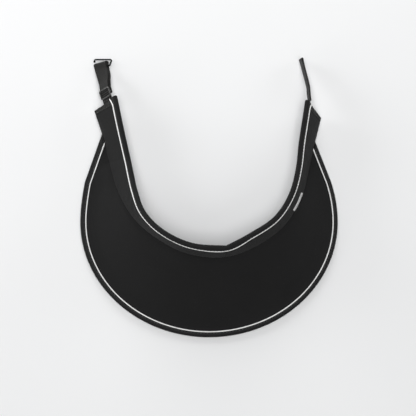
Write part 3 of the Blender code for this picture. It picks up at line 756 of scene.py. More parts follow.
BIB_SPAN = (1.02, 11.97)                 # stations between the bib's two corners
RIM_STITCH_INSET = 0.9                   # stitches lie this far in from the binding's inner edge
COVER, PADDING = 0.6, 2.0                # thickness of the cloth and of the foam
COVER_INSET, ROW_EASE = 1.2, 1.25        # a cover starts inside its binding; rows crowd towards the rim
PILLOW, PILLOW_REACH = 0.9, 6.0          # the padded cover rounds down towards its piping


def bib_stations(count, span=BIB_SPAN):
    """Stations spread evenly along the rim."""
    run = run_of(D.rim)
    lo, hi = np.interp(span, D.t, run)
    inside = (D.t >= span[0]) & (D.t <= span[1])
    return np.interp(np.linspace(lo, hi, count), run[inside], D.t[inside])


def bib_grid(profile, rim_depth, seam_gap, stations, swell=None):
    """Grid of a bib layer between a depth in from the rim and a gap to the neck seam."""
    t = over(profile, stations)
    width = np.maximum(D.value(D.width, t), 0.4)
    outer = np.minimum(rim_depth, width * 0.35)
    inner = width - np.minimum(seam_gap, width * 0.3)
    span = inner - outer
    squeeze = np.minimum(1.0, span / 4)
    depth = outer + span * profile[:, 0] + profile[:, 1] * squeeze
    offset = profile[:, 2] * np.ones_like(t)
    if swell is not None:
        offset = offset + swell(t, depth, width, profile[:, 0] * np.ones_like(t))
    return D.bib(t, depth / width, offset)


def bib_relief():
    """The simulated lift of the bib's cover."""
    stations, shares = bib_stations(150, (1.15, 11.85)), np.linspace(0, 1, 25)**ROW_EASE
    grid = bib_grid(level(shares, BIB_COVER), 4.6, 0.35, stations)
    lift = simulated_lift("bib_cloth_settling", grid, 1.0)
    return Relief(stations, shares, lift)


def bib_swell(relief, side):
    """Relief of a bib layer: simulated lift, rounding down at the piping, gathers at the seams."""
    def swell(t, depth, width, share):
        run = D.value(run_of(D.rim), t)
        down = np.exp(-np.maximum(depth - 4.2, 0) / PILLOW_REACH)
        seam_pull = np.exp(-((width - depth) / 3.0)**2)
        gathers = np.sin(run * 2 * pi / 6.3 + 0.8 * np.sin(run / 17))
        gathers = gathers * np.exp(-np.maximum(depth - 5.5, 0) / 3)
        fade = np.clip(width / 20, 0, 1)
        lift = relief.at(t, share) + 0.06 * gathers - PILLOW * down
        return side * (lift * fade - 0.3 * seam_pull)
    return swell


def u_profile(width, top, thickness, crown=0.12):
    """A binding folded round an edge: depth in from the edge and offset, outside then back inside."""
    half = [(width, top - 0.3), (width * 0.86, top - 0.02), (width * 0.6, top + crown),
            (width * 0.34, top * 0.94), (width * 0.13, top * 0.68), (width * 0.02, top * 0.28)]
    corners = half + [(d, -o) for d, o in half[::-1]]
    outside = spline(corners, np.linspace(0, len(corners) - 1, 37))
    tangent = unit(np.gradient(outside, axis=0))
    inward = np.stack([tangent[:, 1], -tangent[:, 0]], 1)
    if (inward * (np.array((width * 0.6, 0.0)) - outside)).sum() < 0:
        inward = -inward
    edge = np.linspace(0, 1, 37)
    thin = thickness * np.minimum(1.0, 0.45 + 5 * np.minimum(edge, 1 - edge))
    inside = outside + inward * thin[:, None]
    return np.concatenate([outside, inside[::-1]])


def binding_gathers(profile, run):
    """Small gathers of a binding's sewn edges, along its length."""
    return 0.05 * np.sin(run * 2 * pi / 3.0) * np.clip(profile[:, 0] - 1.0, 0, 1)


def taper(t, start, end, span):
    """1 along a trim, easing to a small value over its last stretch at each end, in stations."""
    lead = np.clip((t - start) / span, 0, 1)
    tail = np.clip((end - t) / span, 0, 1)
    return np.minimum(lead * (2 - lead), tail * (2 - tail))


def build_bib():
    relief = bib_relief()
    stations = bib_stations(300)
    cover = bib_grid(sheet_profile(52, COVER, BIB_COVER, ROW_EASE), COVER_INSET, 0.3, stations,
                     bib_swell(relief, 1.0))
    finished("bib_cover_cloth", swept(cover), "black_cloth", "collar",
             replaces=["bib_cover"])
    pad = bib_grid(sheet_profile(26, PADDING, PADDING / 2, 1.2), 1.9, 1.1, bib_stations(160, (1.2, 11.8)),
                   lambda t, depth, width, share: -0.5 * np.exp(-np.maximum(depth - 3, 0) / PILLOW_REACH))
    padding = finished("bib_padding", swept(pad), "padding_foam", "collar",
                       replaces=["bib_core"])
    lining = bib_grid(sheet_profile(40, COVER, COVER - BIB_COVER, ROW_EASE), COVER_INSET, 0.5, stations,
                      bib_swell(relief, -0.3))
    finished("bib_lining_cloth", swept(lining), "charcoal_lining", "collar",
             replaces=["bib_lining"])


def rim_share(t):
    """The bib's edge binding is a little narrower on the right."""
    return 1.06 - 0.2 * smooth_step(np.clip((t - CENTRE_SEAM) / 3.0, 0, 1))


def build_bib_trims():
    profile = u_profile(RIM_BINDING_WIDTH, BIB_BINDING, 0.6)
    t = over(profile, bib_stations(460))
    room = taper(t, *BIB_SPAN, 0.28)
    run = D.value(run_of(D.rim), t)
    depth = profile[:, 0] * (0.3 + 0.7 * room) * rim_share(t)
    gather = binding_gathers(profile, run)
    above = profile[:, 1] > 0
    offset = np.where(above, profile[:, 1] * (0.72 + 0.28 * room) + gather, profile[:, 1])
    mesh = swept(D.rim_point(t, depth, offset))
    finished("bib_edge_binding", mesh, "black_binding", "collar", replaces=["bib_binding"])

    radius = size_of("rim_piping")
    t = bib_stations(340, (1.16, 11.9))
    depth = RIM_BINDING_WIDTH * rim_share(t) + radius * 0.8
    path = D.rim_point(t, depth, np.full(len(t), BIB_COVER - PILLOW * 0.6 + radius * 1.1))
    finished("bib_edge_piping", cord(path, radius), "white_piping", "collar",
             replaces=["bib_piping"])
    t = bib_stations(500, (1.12, 11.86))
    depth = RIM_BINDING_WIDTH * rim_share(t) - RIM_STITCH_INSET
    for name, side in (("top", 1), ("under", -1)):
        path = D.rim_point(t, depth, np.full(len(t), side * BIB_BINDING))
        up = np.tile(UPRIGHT * side, (len(t), 1))
        stitch_line("bib_stitches_" + name, path, up, "collar")


# ---------------------------------------------------------------- neck band

MID_BAND = 15.0             # about half of the band's height
END_TURN = 6.0              # the top trims turn over this last stretch of a half
WING_BEND = 6.0             # reach to each side of a wing's flex line, handed to blend_between
PIPING_OVERHANG = 1.7       # how much further than the binding the piping runs past an end
# span: stations of the half; split: its wing's flex line; drop: how far the piping turns down at
# the slanted end; extra: how far the top edge runs past that end
HALVES = {
    "left": {"span": (0.0, CENTRE_SEAM), "split": LEFT_SPLIT, "wing": "left_wing", "end": 0.0,
             "drop": 2.5, "extra": 0.9},
    "right": {"span": (CENTRE_SEAM, LAST), "split": RIGHT_SPLIT, "wing": "right_wing", "end": float(LAST),
              "drop": 1.6, "extra": 0.0},
}


def across_wing(name, mesh, mat, side, replaces=()):
    """A finished piece that runs from the collar onto a wing."""
    obj = finished(name, mesh, mat, replaces=replaces)
    ride_across_wing(obj, side)
    return obj


def ride_across_wing(obj, side):
    half = HALVES[side]
    middle, end = D.band(np.array([half["split"], half["end"]]), np.full(2, MID_BAND), np.zeros(2))
    toward = unit(end - middle) * WING_BEND
    blend_between(obj, middle - toward, middle + toward)


def band_stations(side, count, end_gap=0.0, seam_gap=0.0):
    """Stations along one half of the band, evenly by length, set back at both of its ends."""
    low, high = D.value(D.run, np.array(HALVES[side]["span"]))
    if side == "left":
        low, high = low + end_gap, high - seam_gap
    else:
        low, high = low + seam_gap, high - end_gap
    return D.station(np.linspace(low, high, count))


def beyond_end(side, points, t, extra):
    """Carries the last stretch of a band trim past the half's slanted end, in millimetres."""
    share = np.clip(1 - from_end(side, t) / END_TURN, 0, 1)
    out = end_frame(HALVES[side]["end"], MID_BAND)[2]
    return points + out * (extra * share**2)[..., None]


def from_end(side, t):
    """Millimetres of band between a station and the half's slanted end."""
    return np.abs(D.value(D.run, t) - D.value(D.run, np.array([HALVES[side]["end"]])))


def band_grid(profile, stations, low, high, swell=None):
    t = over(profile, stations)
    height = low + (high - low) * profile[:, 0] + profile[:, 1]
    offset = profile[:, 2] * np.ones_like(t)
    if swell is not None:
        offset = offset + swell(t, height, profile[:, 0] * np.ones_like(t))
    return D.band(t, height * np.ones_like(t), offset)


def band_relief(side):
    """The simulated lift of one half of the band's cover, between neck seam and piping."""
    stations, shares = band_stations(side, 110, 5.0, 0.2), np.linspace(0, 1, 14)
    grid = band_grid(level(shares, BAND_COVER), stations, 0.45,
                     BAND_HEIGHT - TOP_BINDING_WIDTH)
    lift = simulated_lift("band_cloth_settling_" + side, grid, 0.7)
    return Relief(np.sort(stations), shares, lift)


def band_swell(relief, sign):
    """Relief of a band layer: simulated lift, a rounded crown, and gathers along the neck seam."""
    def swell(t, height, share):
        run = D.value(D.run, t)
        crown = np.sin(np.clip((height - 1) / (BAND_HEIGHT - 6), 0, 1) * pi)
        gathers = 0.05 * np.sin(run * 2 * pi / 7.1 + 1.3 * np.sin(run / 23))
        gathers = gathers * np.exp(-np.abs(height - 2) / 3)
        return sign * (0.25 * crown + gathers + relief.at(t, np.clip(share * 1.1, 0, 1)))
    return swell


def build_band_half(side):
    wing, front = HALVES[side]["wing"], "band_cover_" + side
    relief = band_relief(side)
    stations = band_stations(side, 210, 0.9, 0.12)
    cover = band_grid(sheet_profile(24, COVER, BAND_COVER), stations, 0.4, BAND_HEIGHT - 1.4,
                      band_swell(relief, 1.0))
    across_wing(front + "_cloth", swept(cover), "black_cloth", side,
                [front, wing + "_cover"])
    pad = band_grid(sheet_profile(12, 1.4, 0.7), band_stations(side, 120, 1.9, 0.05), 1.4, BAND_HEIGHT - 1.9)
    padding = across_wing("band_padding_" + side, swept(pad), "padding_foam", side,
                          ["band_foam", wing + "_foam"])
    lining = band_grid(sheet_profile(22, COVER, COVER - BAND_COVER), stations, 0.4, BAND_HEIGHT - 1.4,
                       band_swell(relief, -0.6))
    across_wing("band_lining_" + side, swept(lining), "charcoal_lining", side,
                ["band_lining", wing + "_lining"])


def build_band_trims(side):
    wing = HALVES[side]["wing"]
    profile = u_profile(TOP_BINDING_WIDTH, BAND_BINDING, 0.6)
    t = over(profile, band_stations(side, 300))
    run = D.value(D.run, t)
    gather = binding_gathers(profile, run)
    offset = profile[:, 1] + np.sign(profile[:, 1]) * gather
    rounded = np.clip(from_end(side, t) / 0.8, 0, 1)
    height = BAND_HEIGHT - profile[:, 0] - 0.5 * (1 - np.sqrt(1 - (1 - rounded)**2))
    points = D.band(t, height, offset * (0.8 + 0.2 * rounded))
    mesh = swept(beyond_end(side, points, t, HALVES[side]["extra"]))
    across_wing("band_top_binding_" + side, mesh, "black_binding", side,
                ["band_binding", wing + "_binding"])

    radius = size_of("top_piping")
    t = band_stations(side, 240, 0.5, -1.2)
    turn = np.clip(1 - from_end(side, t) / END_TURN, 0, 1)**1.6
    height = BAND_HEIGHT - TOP_BINDING_WIDTH - radius * 0.8 - HALVES[side]["drop"] * turn
    path = D.band(t, height, BAND_COVER + radius * 0.8 + 0.7 * turn)
    path = beyond_end(side, path, t, PIPING_OVERHANG * HALVES[side]["extra"])
    mesh = cord(path, radius, up=D.at(D.normal, t))
    across_wing("band_top_piping_" + side, mesh, "white_piping", side,
                ["band_piping", wing + "_piping"])

    for name, sign in (("outer", 1.0), ("inner", -1.0)):
        t = band_stations(side, 300, 2.0, 0.6)
        height = np.full(len(t), BAND_HEIGHT - TOP_BINDING_WIDTH + 0.8)
        path = D.band(t, height, np.full(len(t), sign * BAND_BINDING))
        stitches = stitch_line("band_stitches_%s_%s" % (name, side), path, D.at(D.normal, t) * sign)
        ride_across_wing(stitches, side)


def build_wing_hem(side):
    """The wing's lower edge, from the bib's corner to its slanted end: the cover folded under."""
    wing = HALVES[side]["wing"]
    span = (0.05, CORNERS[0] + 0.1) if side == "left" else (CORNERS[1] - 0.1, LAST - 0.05)
    profile = u_profile(2.6, BAND_COVER + 0.15, 0.35, 0.05)
    t = over(profile, np.linspace(*span, 90))
    near_end = np.clip(from_end(side, t) / 5.0, 0, 1)
    grid = D.band(t, profile[:, 0] + 0.7 + 0 * t, profile[:, 1] * (0.6 + 0.4 * near_end))
    mesh = swept(grid)
    across_wing(wing + "_hem", mesh, "black_cloth", side)


RIB_RISE = 0.16                          # how far a rib of the end tape stands out
END_STITCH_INSET = 4.7


def build_end_binding(side):
    """Ribbed tape folded round the slanted end: real ribs across it."""
    wing = HALVES[side]["wing"]
    pitch = size_of("rib_pitch")
    profile = u_profile(END_BINDING_WIDTH, BAND_BINDING + 0.1, 0.6)
    height = over(profile, np.linspace(1.0, BAND_HEIGHT - TOP_BINDING_WIDTH - 0.1, 300))
    tops = np.sin(height * 2 * pi / pitch)
    rib = RIB_RISE * tops
    outside = np.arange(len(profile)) < len(profile) // 2
    on_face = np.clip(np.abs(profile[:, 1]) - 0.8, 0, 1)
    offset = profile[:, 1] + np.where(outside, np.sign(profile[:, 1]) * rib * on_face, 0.0)
    offset = offset * (0.55 + 0.45 * np.clip((height - 1.0) / 4.0, 0, 1))
    depth = profile[:, 0] + 0.35 - np.where(outside, rib * (1 - on_face), 0.0)
    low, high = D.run[0], D.run[-1]
    t = D.station(low + depth if side == "left" else high - depth)
    mesh = swept(D.band(t, height, offset), 0.5 + 0.5 * tops)
    finished(side + "_end_tape", mesh, "ribbed_tape", wing, replaces=[side + "_end_binding"])
    for name, sign in (("outer", 1.0), ("inner", -1.0)):
        run = (low + END_STITCH_INSET) if side == "left" else (high - END_STITCH_INSET)
        t = D.station(np.full(40, run))
        path = D.band(t, np.linspace(0.9, BAND_HEIGHT - 5.4, 40), np.full(40, sign * (BAND_BINDING + 0.1)))
        stitch_line("%s_end_stitches_%s" % (side, name), path, D.at(D.normal, t) * sign, wing)


def build_neck_seam():
    """The crease where band and bib meet: a covered cord sunk between their cloths."""
    t = np.linspace(1.2, 11.8, 420)
    path = D.at(D.seam, t) + D.at(D.normal, t) * 0.5
    finished("neck_seam_cord", cord(path, 0.85, 12), "black_cloth", "collar",
             replaces=["neck_seam_tape"])
    height = np.linspace(1.2, BAND_HEIGHT - TOP_BINDING_WIDTH - 0.6, 26)
    path = D.band(np.full(26, float(CENTRE_SEAM)), height, np.full(26, BAND_COVER + 0.02))
    finished("centre_seam_ridge", cord(path, 0.25, 8), "black_cloth", "collar")


TAB_SPAN = (9.54, 10.18)                 # stations between the tab's two sides


def build_side_tab():
    """A plain white tape folded in half and sewn into the neck seam on the right."""
    stand_off, rise_up, tall, lean, bend = 0.75, 3.9, 6.3, 1.6, 0.42
    t = np.linspace(*TAB_SPAN, 44)
    base = D.at(D.seam, t)
    out = D.at(D.normal, t).copy()
    out[:, 2] = 0
    out = unit(out)
    run = run_of(base)
    outer = [(bend, h) for h in np.linspace(-2.2, tall - bend, 9)]
    outer += [(bend * sin(a), tall - bend + bend * cos(a)) for a in half_turn(9)]
    outer += [(-bend, h) for h in np.linspace(tall - bend, -2.2, 9)]
    inner = [(0.15 * np.sign(x) if abs(x) > 0.3 else x * 0.3, min(h, tall - 0.75)) for x, h in outer]
    profile = np.array(outer + inner[::-1])
    wave = 0.15 * np.sin(run / run[-1] * 2 * pi * 0.8)[:, None]
    sideways = stand_off + profile[:, 0] - lean * np.clip(profile[:, 1], 0, tall) / tall + wave
    grid = base[:, None] + out[:, None] * sideways[..., None]
    grid = grid + UPRIGHT * (rise_up + profile[:, 1])[None, :, None]
    finished("side_tab_tape", swept(grid), "white_tab", "collar", replaces=["side_tab"])


# ---------------------------------------------------------------- straps

SLIDER_TURN = radians(-2.0)              # the slider sits slightly skewed on its tape
LOOP_END_ACROSS = (0.985, 0.17, 0.0)


def end_frame(end, height):
    """At a wing's slanted end: a point on it, along its edge, out of it and away from its face."""
    low, high = D.at(D.seam, end), D.at(D.top, end)
    edge = unit(high - low)
    point = low + (high - low) * height / BAND_HEIGHT
    normal = D.at(D.normal, end)
    normal = unit(normal - edge * np.dot(normal, edge))
    out = np.cross(normal, edge)
    return point, edge, (out if out[1] > 0 else -out), normal


def left_frame():
    point, edge, out, normal = end_frame(0.0, LEFT_SEWN_HEIGHT)
    return point + out * SEWN_GAP, edge, out, normal


def slider_frame():
    """Middle of the slider on its tape, its width and length directions and its face."""
    start, across, out, normal = left_frame()
    wide = across * cos(SLIDER_TURN) + out * sin(SLIDER_TURN)
    long = out * cos(SLIDER_TURN) - across * sin(SLIDER_TURN)
    return start + out * SLIDER_PLACE, wide, long, normal


def loop_frames(points, across_start, across_end, t):
    """Middle, along, width direction and face of a strap loop at shares t of its route."""
    def path(s):
        return spline(points, np.clip(s, 0, 1) * (len(points) - 1))
    step = 0.02
    along = unit(path(t + step) - path(t - step))
    weight = (1 - (1 - t)**2)[:, None]
    across = np.array(across_start) * (1 - weight) + np.array(across_end) * weight
    across = unit(across - along * (across * along).sum(1, keepdims=True))
    return path(t), along, across, np.cross(across, along)


def resampled(line, wide, count):
    """A strap's middle line and width directions at even steps."""
    run = run_of(line)
    fine = np.linspace(0, run[-1], count)
    even = look_up(fine, run, line)
    smooth = np.stack([averaged(even[:, k], 4) for k in range(3)], 1)
    smooth[[0, -1]] = line[[0, -1]]
    return smooth, look_up(fine, run, wide)


LEFT_TUCK, LEFT_PAST_SLIDER = 2.4, 4.6   # the sewn tape, under the binding and past the slider


def build_left_sewn_tape():
    start, across, out, normal = left_frame()
    run = np.linspace(-LEFT_TUCK, SLIDER_PLACE + LEFT_PAST_SLIDER, 170)
    hump = 0.25 * np.exp(-((run - SLIDER_PLACE) / 1.6)**2)
    middle = start + out * run[:, None] + normal * hump[:, None]
    pitch = size_of("rib_pitch")
    turn = np.clip((SLIDER_PLACE - 2.2 - run) / 1.0, 0, 1)
    mesh, _ = ribbon(middle, np.tile(across, (170, 1)), TAPE_WIDTH, TAPE, 0.3, pitch, turn)
    obj = finished("left_sewn_tape", mesh, "ribbed_tape", replaces=["left_anchor_tape"])
    blend_between(obj, start + out * 0.6, start + out * (SLIDER_PLACE - 3.0))
    side = np.linspace(-5.2, 5.2, 30)
    for k, back in enumerate((0.5, 1.3)):
        path = start + across * side[:, None] + out * back + normal * (TAPE * 0.6)
        stitch_line("left_bar_tack_%d" % k, path, np.tile(normal, (30, 1)), "left_strap")


def build_left_loop():
    """The strap from the slider out to the hook and back to the slider's centre bar."""
    sewn_across = left_frame()[1]
    centre, wide, long, normal = slider_frame()
    t = np.linspace(0, 1, 80)
    middle, along, across, face = loop_frames(LOOP_ROUTE, sewn_across, LOOP_END_ACROSS, t)
    front, back = middle + face * LEG_OFFSET, middle - face * LEG_OFFSET
    angle = half_turn(19)
    fold = (middle[-1] + along[-1] * (LEG_OFFSET * np.cos(angle))[:, None]
            + face[-1] * (LEG_OFFSET * np.sin(angle))[:, None])
    lead = [centre + long * 2.4 + normal * 0.1, centre + long * 4.2 + normal * 0.1]
    tail = [centre + long * 5.0 - normal * 2.7, centre + long * 2.2 - normal * 3.3]
    line = np.concatenate([lead, front, fold, back[::-1], tail])
    turns = np.concatenate([[wide, wide], across, np.tile(across[-1], (len(fold), 1)), across[::-1],
                            [wide, wide]])
    lie = LOOP_SHIFT * np.concatenate([[0, 0], 0 * t, 0.5 - 0.5 * np.sin(angle), (0.4 + 0.6 * t**2)[::-1],
                                       [0.3, 0.15]])
    middle_line, widths = resampled(line, turns, 360)
    slide = np.interp(np.linspace(0, 1, 360), run_of(line) / run_of(line)[-1], lie)
    slide = averaged(slide, 6)
    mesh, _ = ribbon(middle_line, widths, TAPE_WIDTH - 0.5, LOOP_TAPE, WEAVE_RISE, WEAVE_PITCH,
                     shift=unit(widths) * slide[:, None])
    obj = finished("left_strap_loop", mesh, "elastic_tape", replaces=["left_loop_tape"])
    blend_between(obj, centre + long * 5.5, front[-1] - along[-1] * 4)


def build_bar_wrap():
    """The strap's end folded round the slider's centre bar and stitched to itself."""
    centre, wide, long, normal = slider_frame()
    centre = centre - normal * BAR_DROP
    reach = BAR_THICK / 2 + 0.3 + TAPE / 2
    angle = np.linspace(-pi / 2, -3 * pi / 2, 24)
    legs = np.linspace(4.0, 0.2, 16)
    along = np.concatenate([legs, reach * 1.15 * np.cos(angle), legs[::-1]])
    up = np.concatenate([np.full(16, -reach), reach * np.sin(angle), np.full(16, reach)])
    middle = centre + long * along[:, None] + normal * up[:, None]
    mesh, _ = ribbon(middle, np.tile(wide, (len(middle), 1)), TAPE_WIDTH, TAPE, WRAP_RISE, COARSE_PITCH)
    finished("slider_bar_wrap", mesh, "ribbed_tape", "slider", replaces=["slider_tape_end"])


WEAVE_RISE, WEAVE_PITCH = 0.05, 0.5      # picks of the smooth loop tape: share of its thickness, spacing
WRAP_RISE, SEWN_RISE, COARSE_PITCH = 0.12, 0.1, 1.45
RIGHT_LEAN = (0.12, 0.02, 0.992)         # the right strap stands on edge, leaning over a little
RIGHT_HALF_GAP = 0.42                    # from the right loop's middle to each of its layers
LOOP_TAPE = TAPE * 0.95


def build_right_strap():
    point, edge, out, _ = end_frame(float(LAST), RIGHT_SEWN_HEIGHT)
    start = point + out * SEWN_GAP
    route = np.array(RIGHT_ROUTE)
    ahead = unit(route[1] - route[0])
    finish = route[0] - ahead * 2.0
    back_in = start - unit(finish - start) * 2.4
    along_tape = np.linspace(0, 1, 110)[:, None]
    middle = back_in + (finish - back_in) * along_tape
    weight = np.clip(along_tape * 3.0 - 0.1, 0, 1)
    across = unit(edge * (1 - weight) + np.array(RIGHT_LEAN) * weight)
    mesh, face = ribbon(middle, across, TAPE_WIDTH - 0.4, 2 * TAPE, SEWN_RISE, COARSE_PITCH, sheared=True)
    finished("right_sewn_tape", mesh, "ribbed_tape", "right_wing", replaces=["right_anchor_tape"])
    side = np.linspace(-4.6, 4.6, 24)
    for k, sign in enumerate((1.0, -1.0)):
        row = middle[70] + across[70] * side[:, None] + face[70] * (sign * TAPE * 1.02)
        stitch_line("right_bar_tack_%d" % k, row, np.tile(face[70] * sign, (24, 1)), "right_wing")

    t = np.linspace(0, 1, 90)
    middle, along, across, face = loop_frames(RIGHT_ROUTE, RIGHT_LEAN, RIGHT_LEAN, t)
    across = np.tile(unit(np.array(RIGHT_LEAN)), (len(t), 1))
    gap = (RIGHT_HALF_GAP + 0.35 * np.clip((t - 0.8) / 0.2, 0, 1)**2)[:, None]
    angle = half_turn(13)
    end_gap = gap[-1, 0]
    fold = (middle[-1] + along[-1] * (end_gap * np.cos(angle))[:, None]
            + face[-1] * (end_gap * np.sin(angle))[:, None])
    lead, tail = finish + face[0] * RIGHT_HALF_GAP, finish - face[0] * RIGHT_HALF_GAP
    line = np.concatenate([[lead], middle + face * gap, fold, (middle - face * gap)[::-1], [tail]])
    wide = np.tile(across[0], (len(line), 1))
    run = run_of(line)
    fine = np.linspace(0, run[-1], 380)
    mesh, _ = ribbon(look_up(fine, run, line), look_up(fine, run, wide), TAPE_WIDTH,
                     LOOP_TAPE, WEAVE_RISE, WEAVE_PITCH, sheared=True)
    obj = finished("right_strap_loop", mesh, "elastic_tape", replaces=["right_loop_tape"])
    blend_between(obj, finish - ahead * 0.5, route[0] + ahead * 3.0)


# ---------------------------------------------------------------- hardware

def build_hook():
    left, right, bar_y, top_y, bend = -107.9, -91.6, 146.6, 152.6, 1.3

    def arc(cx, cy, a, b):
        return [(cx + bend * cos(radians(k)), cy + bend * sin(radians(k))) for k in np.linspace(a, b, 9)]
    outline = [(left + 0.9, bar_y), (left + 4, bar_y), (left + 8, bar_y)]
    outline += arc(right - 1.4 - bend, bar_y + bend, -90, 0) + arc(right - bend, top_y - bend, 0, 90)
    outline += [(left + 8, top_y), (left + 4, top_y)]
    outline += arc(left + bend + 0.4, top_y - bend, 90, 180) + [(left + 0.4, top_y - 2.1)]
    tilt = radians(HOOK_TILT)
    corners = np.array([(x, bar_y + (y - bar_y) * cos(tilt), HOOK_BAR_Z + (y - bar_y) * sin(tilt))
                        for x, y in outline])
    run = run_of(corners)
    path = look_up(np.linspace(0, run[-1], 170), run, corners)
    finished("hook_wire_bent", cord(path, HOOK_WIRE, 16), "dark_metal", "hook_wire",
             replaces=["hook"])
    tip = path[-1] + np.linspace(-1, 1, 13)[:, None] * np.array((0.0, 0.9, -0.15))
    ball = cord(tip, 0.95, 16)
    finished("hook_tip_ball", ball, "dark_metal", "hook_wire")


def build_slider():
    """A ring that the tape runs under, with a bent bar that the tape's end is folded round."""
    centre, wide, long, normal = slider_frame()
    centre = centre + wide * RING_SHIFT
    lift = TAPE / 2 + 0.3 + SLIDER_THICK / 2
    half_x, half_y, corner = (SLIDER_WIDTH - SLIDER_RAIL) / 2, (SLIDER_LENGTH - SLIDER_RAIL) / 2, 1.3
    ring = []
    for quarter in range(4):
        cx = (half_x - corner) * (1 if quarter in (0, 3) else -1)
        cy = (half_y - corner) * (1 if quarter in (0, 1) else -1)
        for a in np.linspace(quarter * 90, quarter * 90 + 90, 9):
            ring.append((cx + corner * cos(radians(a)), cy + corner * sin(radians(a))))
    ring = np.array(ring)
    along = unit(np.roll(ring, -1, 0) - np.roll(ring, 1, 0))
    outward = np.stack([along[:, 1], -along[:, 0]], 1)
    sides = 16
    angle = np.arange(sides) * 2 * pi / sides
    squared = [np.sign(v) * np.abs(v)**0.7 for v in (np.cos(angle), np.sin(angle))]
    flat = ring[:, None] + outward[:, None] * (squared[0] * RAIL_SHOWN / 2)[None, :, None]
    height = lift + squared[1] * RAIL_SHOWN / 2
    points = centre + wide * flat[..., :1] + long * flat[..., 1:] + normal * height[None, :, None]
    count = len(ring)
    faces = [[i * sides + j, i * sides + (j + 1) % sides, (i + 1) % count * sides + (j + 1) % sides,
              (i + 1) % count * sides + j] for i in range(count) for j in range(sides)]
    finished("slider_ring", closed_mesh(points.reshape(-1, 3), faces), "slider_metal", "slider",
             replaces=["slider_frame"])
    knots = [(-half_x, lift), (-half_x, 0.0), (-half_x + 0.5, -BAR_DROP), (-half_x + 2.4, -BAR_DROP)]
    knots += [(0, -BAR_DROP)] + [(-x, z) for x, z in knots[::-1]]
    line = spline([centre + wide * x + normal * z for x, z in knots], np.linspace(0, 8, 90))
    finished("slider_centre_bar", cord(line, 0.5, 12), "slider_metal", "slider")


# ---------------------------------------------------------------- stage

# name, direction and height in degrees, distance and size in metres, power in watts
SOFT_LIGHTS = (
    ("overhead", 0, 89, 1.7, 0.9, 17.5),
    ("back", 95, 28, 1.3, 0.6, 7.2),
    ("left", 155, 15, 1.3, 0.6, 7.2),
    ("front_left", 210, 14, 1.3, 0.6, 3.0),
    ("right", 25, 15, 1.3, 0.6, 3.0),
    ("front_right", 300, 50, 1.3, 0.6, 2.0),
)


# the camera looks straight down: film width in millimetres, the rest in metres
SENSOR, CAMERA_HEIGHT, VIEW_WIDTH, VIEW_MIDDLE = 36.0, 1.2, 0.39104, (-0.00094, -0.00984)
FLOOR_DROP = 0.0002                      # the surface lies this far under the collar
WORLD_GLOW = 0.02


def build_stage():
    scene = bpy.context.scene
    size = scene.collar_sizes.floor_size
    mesh = bpy.data.meshes.new("pale_surface")
    bm = bmesh.new()
    bmesh.ops.create_grid(bm, x_segments=4, y_segments=4, size=size / 2)
    bm.to_mesh(mesh)
    bm.free()
    mesh.materials.append(material("pale_floor"))
    floor = bpy.data.objects.new("pale_surface", mesh)
    floor.location = (0.0, 0.0, -FLOOR_DROP)
    STAGE_COLLECTION.objects.link(floor)

    camera = bpy.data.cameras.new("view_camera")
    camera.sensor_width = SENSOR
    camera.lens = SENSOR * CAMERA_HEIGHT / VIEW_WIDTH
    camera.clip_start, camera.clip_end = 0.05, 50.0
    viewer = bpy.data.objects.new("view_camera", camera)
    viewer.location = (*VIEW_MIDDLE, CAMERA_HEIGHT)
    STAGE_COLLECTION.objects.link(viewer)
    scene.camera = viewer

    for name, turn, height, distance, size, watts in SOFT_LIGHTS:
        data = bpy.data.lights.new(name + "_light", "AREA")
        data.size, data.energy = size, watts
        lamp = bpy.data.objects.new(name + "_light", data)
        turn, height = radians(turn), radians(height)
        place = Vector((cos(turn) * cos(height), sin(turn) * cos(height), sin(height))) * distance
        lamp.location = place
        lamp.rotation_euler = (-place).to_track_quat("-Z", "Y").to_euler()
        STAGE_COLLECTION.objects.link(lamp)
    world = bpy.data.worlds.new("soft_white")
    world.use_nodes = True
    background = world.node_tree.nodes["Background"]
    background.inputs["Color"].default_value = (1.0, 1.0, 1.0, 1.0)
    background.inputs["Strength"].default_value = WORLD_GLOW
    scene.world = world
    scene.view_settings.view_transform = "Standard"


# ---------------------------------------------------------------- operators and panel

def add_bib():
    build_bib()
    build_bib_trims()


def add_neck_band():
    for side in HALVES:
        build_band_half(side)
        build_band_trims(side)
        build_wing_hem(side)
    build_neck_seam()


class COLLAR_OT_bib(bpy.types.Operator):
    """Build the bib's cloth, padding, lining, binding, piping and stitches"""
    bl_idname = "collar.bib"
    bl_label = "Bib"

    def execute(self, context):
        add_bib()
        return {"FINISHED"}


class COLLAR_OT_neck_band(bpy.types.Operator):
    """Build both halves of the stand-up band with their trims and the neck seam"""
    bl_idname = "collar.neck_band"
    bl_label = "Neck Band"

    def execute(self, context):
        add_neck_band()
        return {"FINISHED"}


class COLLAR_OT_end_tapes(bpy.types.Operator):
    """Build the ribbed tapes round the slanted ends"""
    bl_idname = "collar.end_tapes"
    bl_label = "End Tapes"

    def execute(self, context):
        for side in HALVES:
            build_end_binding(side)
        return {"FINISHED"}


class COLLAR_OT_side_tab(bpy.types.Operator):
    """Build the plain folded tab"""
    bl_idname = "collar.side_tab"
    bl_label = "Side Tab"

    def execute(self, context):
        build_side_tab()
        return {"FINISHED"}


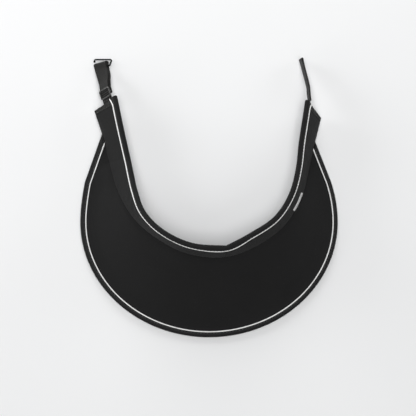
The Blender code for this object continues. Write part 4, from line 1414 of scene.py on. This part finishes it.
class COLLAR_OT_straps(bpy.types.Operator):
    """Build the left strap with its loop and the right strap's loop"""
    bl_idname = "collar.straps"
    bl_label = "Straps"

    def execute(self, context):
        build_left_sewn_tape()
        build_bar_wrap()
        build_left_loop()
        build_right_strap()
        return {"FINISHED"}


class COLLAR_OT_hardware(bpy.types.Operator):
    """Build the wire hook and the slider"""
    bl_idname = "collar.hardware"
    bl_label = "Hook and Slider"

    def execute(self, context):
        build_hook()
        build_slider()
        return {"FINISHED"}


class COLLAR_OT_stage(bpy.types.Operator):
    """Build the pale surface, lights and camera"""
    bl_idname = "collar.stage"
    bl_label = "Stage"

    def execute(self, context):
        build_stage()
        return {"FINISHED"}


OPERATORS = (COLLAR_OT_bib, COLLAR_OT_neck_band, COLLAR_OT_end_tapes, COLLAR_OT_side_tab, COLLAR_OT_straps,
             COLLAR_OT_hardware, COLLAR_OT_stage)


class COLLAR_PT_panel(bpy.types.Panel):
    bl_idname = "COLLAR_PT_panel"
    bl_label = "Neck Collar"
    bl_space_type = "VIEW_3D"
    bl_region_type = "UI"
    bl_category = "Collar"

    def draw(self, context):
        column = self.layout.column()
        for operator in OPERATORS:
            column.operator(operator.bl_idname)
        for group in (context.scene.collar_sizes, context.scene.collar_colours):
            box = self.layout.box()
            for name in group.__annotations__:
                box.prop(group, name)


CLASSES = (CollarSizes, CollarColours, *OPERATORS, COLLAR_PT_panel)


def register():
    for cls in CLASSES:
        bpy.utils.register_class(cls)
    bpy.types.Scene.collar_sizes = bpy.props.PointerProperty(type=CollarSizes)
    bpy.types.Scene.collar_colours = bpy.props.PointerProperty(type=CollarColours)


def unregister():
    del bpy.types.Scene.collar_sizes
    del bpy.types.Scene.collar_colours
    for cls in reversed(CLASSES):
        bpy.utils.unregister_class(cls)


def main():
    register()
    bpy.ops.collar.stage()
    bpy.ops.collar.bib()
    bpy.ops.collar.neck_band()
    bpy.ops.collar.end_tapes()
    bpy.ops.collar.side_tab()
    bpy.ops.collar.straps()
    bpy.ops.collar.hardware()


if __name__ == "__main__":
    main()
